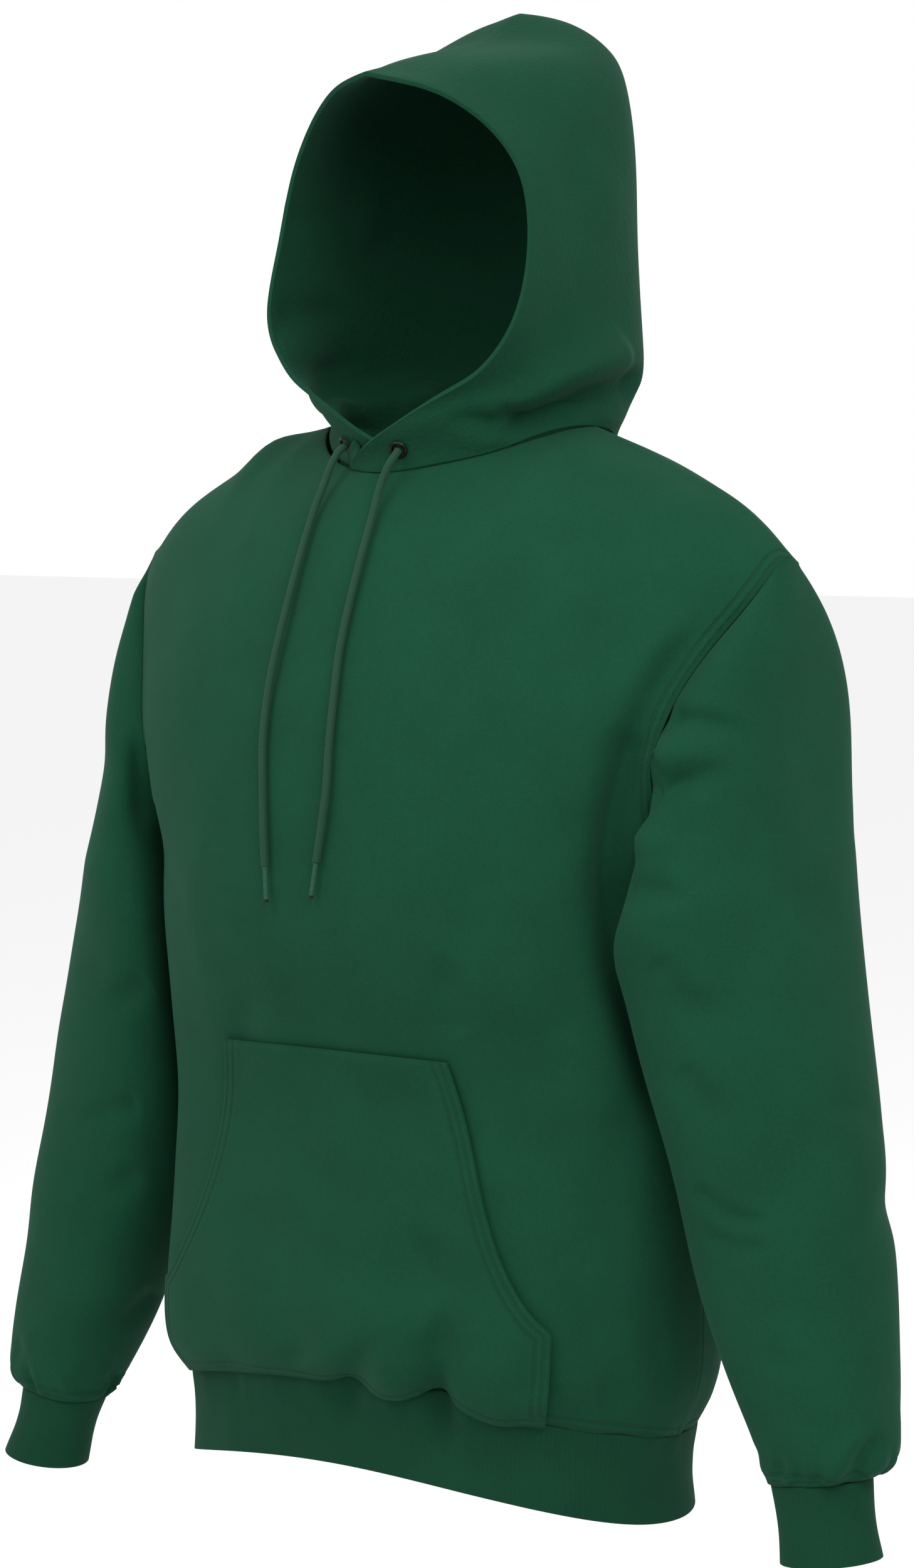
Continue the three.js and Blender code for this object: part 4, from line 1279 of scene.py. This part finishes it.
@dataclass
class Sleeves:
    """The two sleeves and their cuffs."""

    def creases(self, left: bool) -> list[Crease]:
        """The sleeve's creases, seen and unseen."""
        photo = View.PHOTO
        if left:
            return [
                Crease(
                    photo, 16, -4.4, ((1036, 1150), (1100, 1146), (1170, 1160), (1215, 1180)),
                    (0.05, 0.5),
                ),
                Crease(photo, 24, -6.5, ((1042, 1268), (1095, 1244), (1170, 1232)), (0.0, 0.6)),
                Crease(photo, 26, 4.0, ((1050, 1208), (1110, 1198), (1180, 1205)), (0.05, 0.5)),
                Crease(photo, 30, 5.0, ((985, 1340), (1030, 1340), (1090, 1350)), (0.0, 0.6)),
                Crease(photo, 22, -4.2, ((990, 1420), (1050, 1422), (1110, 1440)), (0.05, 0.6)),
                Crease(photo, 26, -2.8, ((1040, 1530), (1100, 1600), (1180, 1640)), (0.1, 0.5)),
                Crease(photo, 26, -2.6, ((1080, 1700), (1130, 1760), (1190, 1790)), (0.1, 0.5)),
                Crease(
                    photo, 13, -3.0, ((1108, 1890), (1150, 1930), (1200, 1945), (1250, 1935)),
                    (0.1, 0.5),
                ),
                Crease(photo, 15, -2.4, ((1120, 1965), (1180, 1990), (1250, 1985)), (0.2, 0.5)),
                Crease(photo, 18, -1.8, ((1300, 1752), (1350, 1768), (1402, 1780)), (0.5, 0.1)),
                Crease(photo, 20, -1.8, ((1200, 2140), (1260, 2180), (1330, 2170)), (0.3, 0.4)),
                Crease(photo, 13, -4.2, ((1412, 2280), (1378, 2320), (1350, 2366)), (0.3, 0.0)),
                Crease(photo, 16, 2.4, ((1385, 2270), (1350, 2310), (1325, 2360)), (0.4, 0.1)),
                Crease(photo, 14, -2.4, ((1225, 2330), (1262, 2352), (1285, 2372)), (0.3, 0.1)),
                Crease(photo, 34, -1.6, ((1180, 1420), (1240, 1500), (1300, 1560)), (0.5, 0.5)),
                Crease(photo, 34, -1.4, ((1250, 1120), (1290, 1240), (1310, 1380)), (0.5, 0.5)),
                Crease(View.BACK, 13, -3.4, ((-215, -250), (-250, -262), (-285, -258)), (0.1, 0.5)),
                Crease(View.BACK, 13, -3.0, ((-222, -330), (-255, -350), (-290, -350)), (0.1, 0.5)),
                Crease(View.BACK, 12, -3.2, ((-262, -440), (-290, -455), (-325, -450)), (0.2, 0.4)),
                Crease(View.BACK, 11, -2.6, ((-268, -475), (-300, -482), (-335, -470)), (0.2, 0.4)),
                Crease(View.LEFT, 14, -2.2, ((60, -470), (20, -490), (-20, -480)), (0.2, 0.4)),
            ]
        return [
            Crease(photo, 18, -3.2, ((232, 1130), (224, 1240), (232, 1340)), (0.4, 0.3)),
            Crease(photo, 26, -2.4, ((186, 1290), (190, 1400), (202, 1500)), (0.4, 0.4)),
            Crease(photo, 22, -2.8, ((236, 1560), (200, 1590), (150, 1600)), (0.1, 0.5)),
            Crease(photo, 20, -3.0, ((222, 1760), (175, 1776), (120, 1772)), (0.1, 0.5)),
            Crease(photo, 22, -2.2, ((226, 1860), (180, 1900), (120, 1910)), (0.2, 0.5)),
            Crease(photo, 14, -3.0, ((252, 2060), (215, 2090), (188, 2118)), (0.1, 0.5)),
            Crease(photo, 12, -3.0, ((170, 2150), (182, 2185), (190, 2222)), (0.5, 0.0)),
            Crease(photo, 26, -2.0, ((40, 2130), (90, 2160), (150, 2150)), (0.2, 0.5)),
            Crease(View.FRONT, 11, -2.6, ((-340, -640), (-325, -660), (-318, -678)), (0.4, 0.0)),
            Crease(View.BACK, 13, -3.4, ((215, -250), (250, -266), (285, -262)), (0.1, 0.5)),
            Crease(View.BACK, 13, -3.0, ((222, -345), (258, -362), (292, -358)), (0.1, 0.5)),
            Crease(View.BACK, 12, -3.2, ((262, -460), (292, -474), (325, -466)), (0.2, 0.4)),
            Crease(View.BACK, 11, -2.6, ((268, -500), (300, -506), (335, -494)), (0.2, 0.4)),
            Crease(View.RIGHT, 14, -2.2, ((-60, -490), (-20, -510), (20, -500)), (0.2, 0.4)),
        ]

    def build(self) -> None:
        """Builds both sleeves and both cuffs."""
        for side in ("left", "right"):
            Cloth(
                f"sleeve_{side}", (0.44, 0.58), 0.2, core=None, creases=self.creases(side == "left"),
                seams=[Seam(at_cuff_seam)],
                gather=1.1, gathered=at_cuff_seam, ripple=Ripple(seed=11 if side == "left" else 17),
            ).build()
            Cloth(
                f"cuff_{side}", (0.19, 0.052), 0.0095, held="stretched", thickness=RIB_CLOTH,
                finish=RIB, material_slot="rib", core=None, ripple=Ripple(height=0.6 * MM, seed=9),
                turned=at_cuff_top,
            ).build()


@dataclass
class Hood:
    """The hood's two halves."""

    def creases(self, left: bool) -> list[Crease]:
        """The half's creases, seen and unseen."""
        photo = View.PHOTO
        if left:
            return [
                Crease(
                    photo, 26, -14.0,
                    ((1016, 612), (965, 628), (918, 646), (872, 668), (826, 682), (780, 676)),
                    (0.0, 0.3), lips=0.2,
                ),
                Crease(
                    photo, 32, 8.0, ((1010, 560), (952, 578), (900, 600), (850, 624), (790, 640)),
                    (0.1, 0.4), lips=0.0,
                ),
                Crease(photo, 18, -5.0, ((850, 684), (815, 664), (792, 636)), (0.3, 0.5)),
                Crease(photo, 20, -5.5, ((816, 686), (752, 672), (700, 676)), (0.3, 0.5)),
                Crease(photo, 30, -2.4, ((950, 180), (925, 260), (900, 350)), (0.4, 0.4)),
                Crease(photo, 30, -1.8, ((900, 440), (880, 500), (862, 560)), (0.5, 0.5)),
                Crease(photo, 34, 1.6, ((980, 240), (970, 380), (975, 520)), (0.4, 0.4)),
                Crease(View.BACK, 12, -4.0, ((-100, 10), (-60, 16), (-20, 12)), (0.1, 0.4)),
            ]
        return [
            Crease(photo, 22, 1.8, ((452, 352), (490, 346), (545, 352)), (0.1, 0.5), inside=True),
            Crease(
                photo, 24, 2.6, ((430, 512), (480, 498), (530, 500), (570, 510)), (0.1, 0.5),
                inside=True,
            ),
            Crease(photo, 26, -1.6, ((432, 560), (490, 560), (550, 566)), (0.1, 0.5), inside=True),
            Crease(photo, 20, 1.8, ((470, 600), (530, 586), (580, 575)), (0.3, 0.4), inside=True),
            Crease(
                View.RIGHT, 11, -12.0, ((-110, 24), (-60, 15), (-10, 8), (30, 3), (66, -6)),
                (0.1, 0.05), lips=0.2,
            ),
            Crease(View.RIGHT, 16, -2.0, ((-60, 190), (-50, 150), (-30, 110)), (0.4, 0.4)),
            Crease(View.BACK, 12, -3.6, ((100, 14), (60, 20), (20, 14)), (0.1, 0.4)),
        ]

    def build(self) -> None:
        """Builds both halves."""
        for side in ("left", "right"):
            Cloth(
                f"hood_{side}", (0.27, 0.37), 0.088, thickness=HOOD_CLOTH,
                core=(0.0, 0.03), creases=self.creases(side == "left"), turned=at_neck,
                turn_steps=((0.4 * MM, 0.8 * MM), (3.0 * MM, 2.5 * MM), (4.0 * MM, 0.5 * MM)),
                corner_angle=math.pi, joined=0.4 * MM,
                ripple=Ripple(height=0.8 * MM, seed=21 if side == "left" else 27),
            ).build()


@dataclass(frozen=True)
class Eyelet:
    """A rolled metal ring about the drawcord's way out."""

    side: str
    centre: tuple[float, float, float]
    axis: tuple[float, float, float]
    outer: float = 6.2 * MM
    bore: float = 3.4 * MM
    height: float = 1.6 * MM

    def build(self) -> bpy.types.Object:
        """Spins the ring's rolled section about its axis."""
        bm = bmesh.new()
        middle = (self.outer + self.bore) / 2
        half = (self.outer - self.bore) / 2
        section = bmesh.ops.create_circle(bm, cap_ends=False, segments=12, radius=half)["verts"]
        bmesh.ops.scale(bm, vec=(1.0, self.height / 2 / half, 1.0), verts=section)
        bmesh.ops.rotate(bm, matrix=Matrix.Rotation(math.pi / 2, 3, "X"), verts=section)
        bmesh.ops.translate(bm, vec=(middle, 0.0, 0.0), verts=section)
        bmesh.ops.spin(
            bm, geom=list(bm.edges) + list(bm.verts), cent=(0, 0, 0), axis=(0, 0, 1),
            dvec=(0, 0, 0), angle=2 * math.pi, steps=40, use_merge=True,
        )
        bmesh.ops.remove_doubles(bm, verts=bm.verts, dist=1e-6)
        bmesh.ops.recalc_face_normals(bm, faces=bm.faces)
        turn = Vector((0, 0, 1)).rotation_difference(Vector(self.axis)).to_matrix().to_4x4()
        bmesh.ops.transform(bm, matrix=Matrix.Translation(self.centre) @ turn, verts=bm.verts)
        ring = object_of(f"eyelet_ring_{self.side}", bm, METAL)
        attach(ring, "root")
        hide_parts(f"eyelet_{self.side}")
        LOG.info("eyelet_%s: a ring of %d faces", self.side, len(ring.data.polygons))
        return ring


@dataclass(frozen=True)
class Drawcord:
    """One free stretch of the drawcord, with its wrapped tip."""

    side: str
    route: tuple[tuple[float, float, float], ...]
    diameter: float = 5.0 * MM
    tip_length: float = 23.0 * MM
    tip_diameter: float = 3.0 * MM
    around: int = 16
    step: float = 0.9 * MM

    def frames(self) -> list[tuple[Vector, Vector, Vector, Vector]]:
        """Places along the route, each with its direction and two across, that don't twist."""
        line = even_steps(smooth_line(list(self.route), 16), self.step)
        along = np.gradient(line, axis=0)
        out = []
        across = Vector((1.0, 0.0, 0.0))
        for p, a in zip(line, along):
            way = Vector(a).normalized()
            across = (across - way * across.dot(way)).normalized()
            out.append((Vector(p), way, across.copy(), way.cross(across)))
        return out

    def tube(
        self, frames: list[tuple[Vector, Vector, Vector, Vector]], radius: Callable[[float], float]
    ) -> bmesh.types.BMesh:
        """A closed tube along frames, mapped round and along in millimetres.

        Args:
            frames: places with their directions.
            radius: the radius at a distance from the start, in metres.

        Returns:
            The tube's mesh.
        """
        bm = bmesh.new()
        layer = bm.loops.layers.uv.new(CLOTH_UV)
        last = len(frames) - 1
        bmesh.ops.create_grid(bm, x_segments=last, y_segments=self.around, size=1.0)
        steps = [(q[0] - p[0]).length for p, q in zip(frames[:-1], frames[1:])]
        runs = np.concatenate([[0.0], np.cumsum(steps)])
        girth = math.pi * self.diameter / MM
        mapped = {}
        for v in bm.verts:
            k = round((v.co.x + 1) / 2 * last)
            turn = (v.co.y + 1) / 2
            mapped[v] = (turn * girth, runs[k] / MM)
            p, _, a, b = frames[k]
            angle = turn * 2 * math.pi
            v.co = p + (a * math.cos(angle) + b * math.sin(angle)) * radius(runs[k])
        for loop in (loop for face in bm.faces for loop in face.loops):
            loop[layer].uv = mapped[loop.vert]
        bmesh.ops.remove_doubles(bm, verts=bm.verts, dist=1e-6)
        bmesh.ops.holes_fill(bm, edges=[e for e in bm.edges if e.is_boundary], sides=0)
        bmesh.ops.recalc_face_normals(bm, faces=bm.faces)
        return bm

    def build(self) -> None:
        frames = self.frames()
        radius = self.diameter / 2
        cord = object_of(f"cord_{self.side}", self.tube(frames, lambda run: radius), CORD)
        end, way = frames[-1][0], frames[-1][1]
        a, b = frames[-1][2], frames[-1][3]
        steps = 24
        gap = 0.3 * MM
        tip_frames = [
            (end + way * (gap + self.tip_length * k / steps), way, a, b) for k in range(steps + 1)
        ]
        thin = self.tip_diameter / 2

        def wrapped(run: float) -> float:
            """The tip's radius: a short shoulder, then a wrapped shank."""
            shoulder = max(0.0, 1 - run / (3.0 * MM))
            return thin * (1 + 0.45 * shoulder**2 + 0.05 * math.sin(run / MM * 5.2))

        tip = object_of(f"tip_{self.side}", self.tube(tip_frames, wrapped), TIP)
        tip.data.materials.append(TIP_END.material())
        for face in tip.data.polygons:
            if (Vector(face.center) - end).dot(way) > self.tip_length - 1.6 * MM:
                face.material_index = 1
        for piece, node in ((cord, f"drawcord_{self.side}"), (tip, f"cord_tip_{self.side}")):
            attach(piece, "root")
            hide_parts(node)
        path = [tuple(f[0]) for f in frames]
        length = sum((Vector(q) - Vector(p)).length for p, q in zip(path[:-1], path[1:]))
        LOG.info("cord_%s: %.3f m and a tip of %.0f mm", self.side, length, self.tip_length / MM)


def route(points: list[tuple[float, float, float]]) -> tuple[tuple[float, float, float], ...]:
    """A route in metres, from millimetres."""
    return tuple(tuple(x * MM for x in p) for p in points)


CORD_ROUTES = {
    "left": route([
        (20.4, -76.2, -14.4), (21, -80.2, -17.4), (18.8, -84.2, -24), (15, -87.4, -36),
        (14, -94.2, -54.3), (15.8, -109.4, -83), (16.4, -122.2, -112), (16.7, -132.6, -140.9),
        (18.6, -141.1, -170.2), (20.2, -148.2, -200), (21.8, -153.2, -228), (20, -155.8, -252),
        (16.6, -157.3, -276.5),
    ]),
    "right": route([
        (-29.4, -69.2, -11.6), (-31.2, -74, -15.6), (-33, -78.6, -23.6), (-35.8, -83.2, -37),
        (-38.4, -90.4, -54.1), (-37, -107, -84.1), (-36.2, -122.6, -118.3), (-36.9, -134.7, -152.2),
        (-37, -141.1, -176.2), (-35.6, -147, -200.6), (-31.8, -152, -228.6), (-28.3, -155.5, -258.5),
        (-26, -157, -281.5),
    ]),
}
EYELETS = (
    Eyelet("left", (0.0201, -0.0755, -0.0138), (0.30, -0.82, -0.49)),
    Eyelet("right", (-0.0291, -0.0685, -0.0110), (-0.38, -0.74, -0.56)),
)


@dataclass(frozen=True)
class Studio:
    """A pale floor, a pale surround and soft lights."""

    floor_z: float = -0.93
    floor_size: float = 40.0

    def light(
        self, name: str, place: tuple[float, float, float], aim: tuple[float, float, float],
        size: float, power: float,
    ) -> None:
        """A square area light.

        Args:
            name: the light's name.
            place: where it stands, in metres.
            aim: the point that it faces.
            size: its side.
            power: in watts.
        """
        data = bpy.data.lights.new(name, "AREA")
        data.size = size
        data.energy = power
        lamp = bpy.data.objects.new(name, data)
        bpy.context.scene.collection.objects.link(lamp)
        way = Vector(place) - Vector(aim)
        lamp.matrix_world = Matrix.Translation(place) @ way.to_track_quat("Z", "Y").to_matrix().to_4x4()

    def build(self) -> None:
        """Sets the floor, the world and the lights."""
        bm = bmesh.new()
        bmesh.ops.create_grid(bm, x_segments=1, y_segments=1, size=self.floor_size / 2)
        bmesh.ops.translate(bm, vec=(0, 0, self.floor_z), verts=bm.verts)
        floor = object_of("studio_floor", bm, Paper("studio_paper", (0.9, 0.9, 0.9)))
        world = bpy.data.worlds.new("studio")
        world.use_nodes = True
        back = world.node_tree.nodes["Background"]
        back.inputs["Color"].default_value = (1.0, 1.0, 1.0, 1.0)
        back.inputs["Strength"].default_value = 1.0
        bpy.context.scene.world = world
        self.light("right", (1.25, -0.9, 0.95), (0.0, 0.0, 0.05), 1.2, 31.0)
        self.light("left", (-0.4, -1.45, 0.95), (0.0, 0.0, 0.0), 1.2, 19.0)
        self.light("top", (-0.1, 0.1, 1.5), (0.0, 0.0, 0.0), 1.2, 2.5)
        scene = bpy.context.scene
        scene.view_settings.view_transform = "Standard"
        scene.view_settings.look = "None"


def main() -> None:
    """Builds the garment in its studio."""
    logging.basicConfig(level=logging.INFO, format="%(name)s: %(message)s")
    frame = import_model()
    _NODES.update(frame["nodes"])
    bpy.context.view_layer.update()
    PHOTOGRAPHER.place()
    Studio().build()
    for side in ("left", "right"):
        Drawcord(side, CORD_ROUTES[side]).build()
    for eyelet in EYELETS:
        eyelet.build()
    Hood().build()
    Body().build()
    Sleeves().build()


if __name__ == "__main__":
    main()
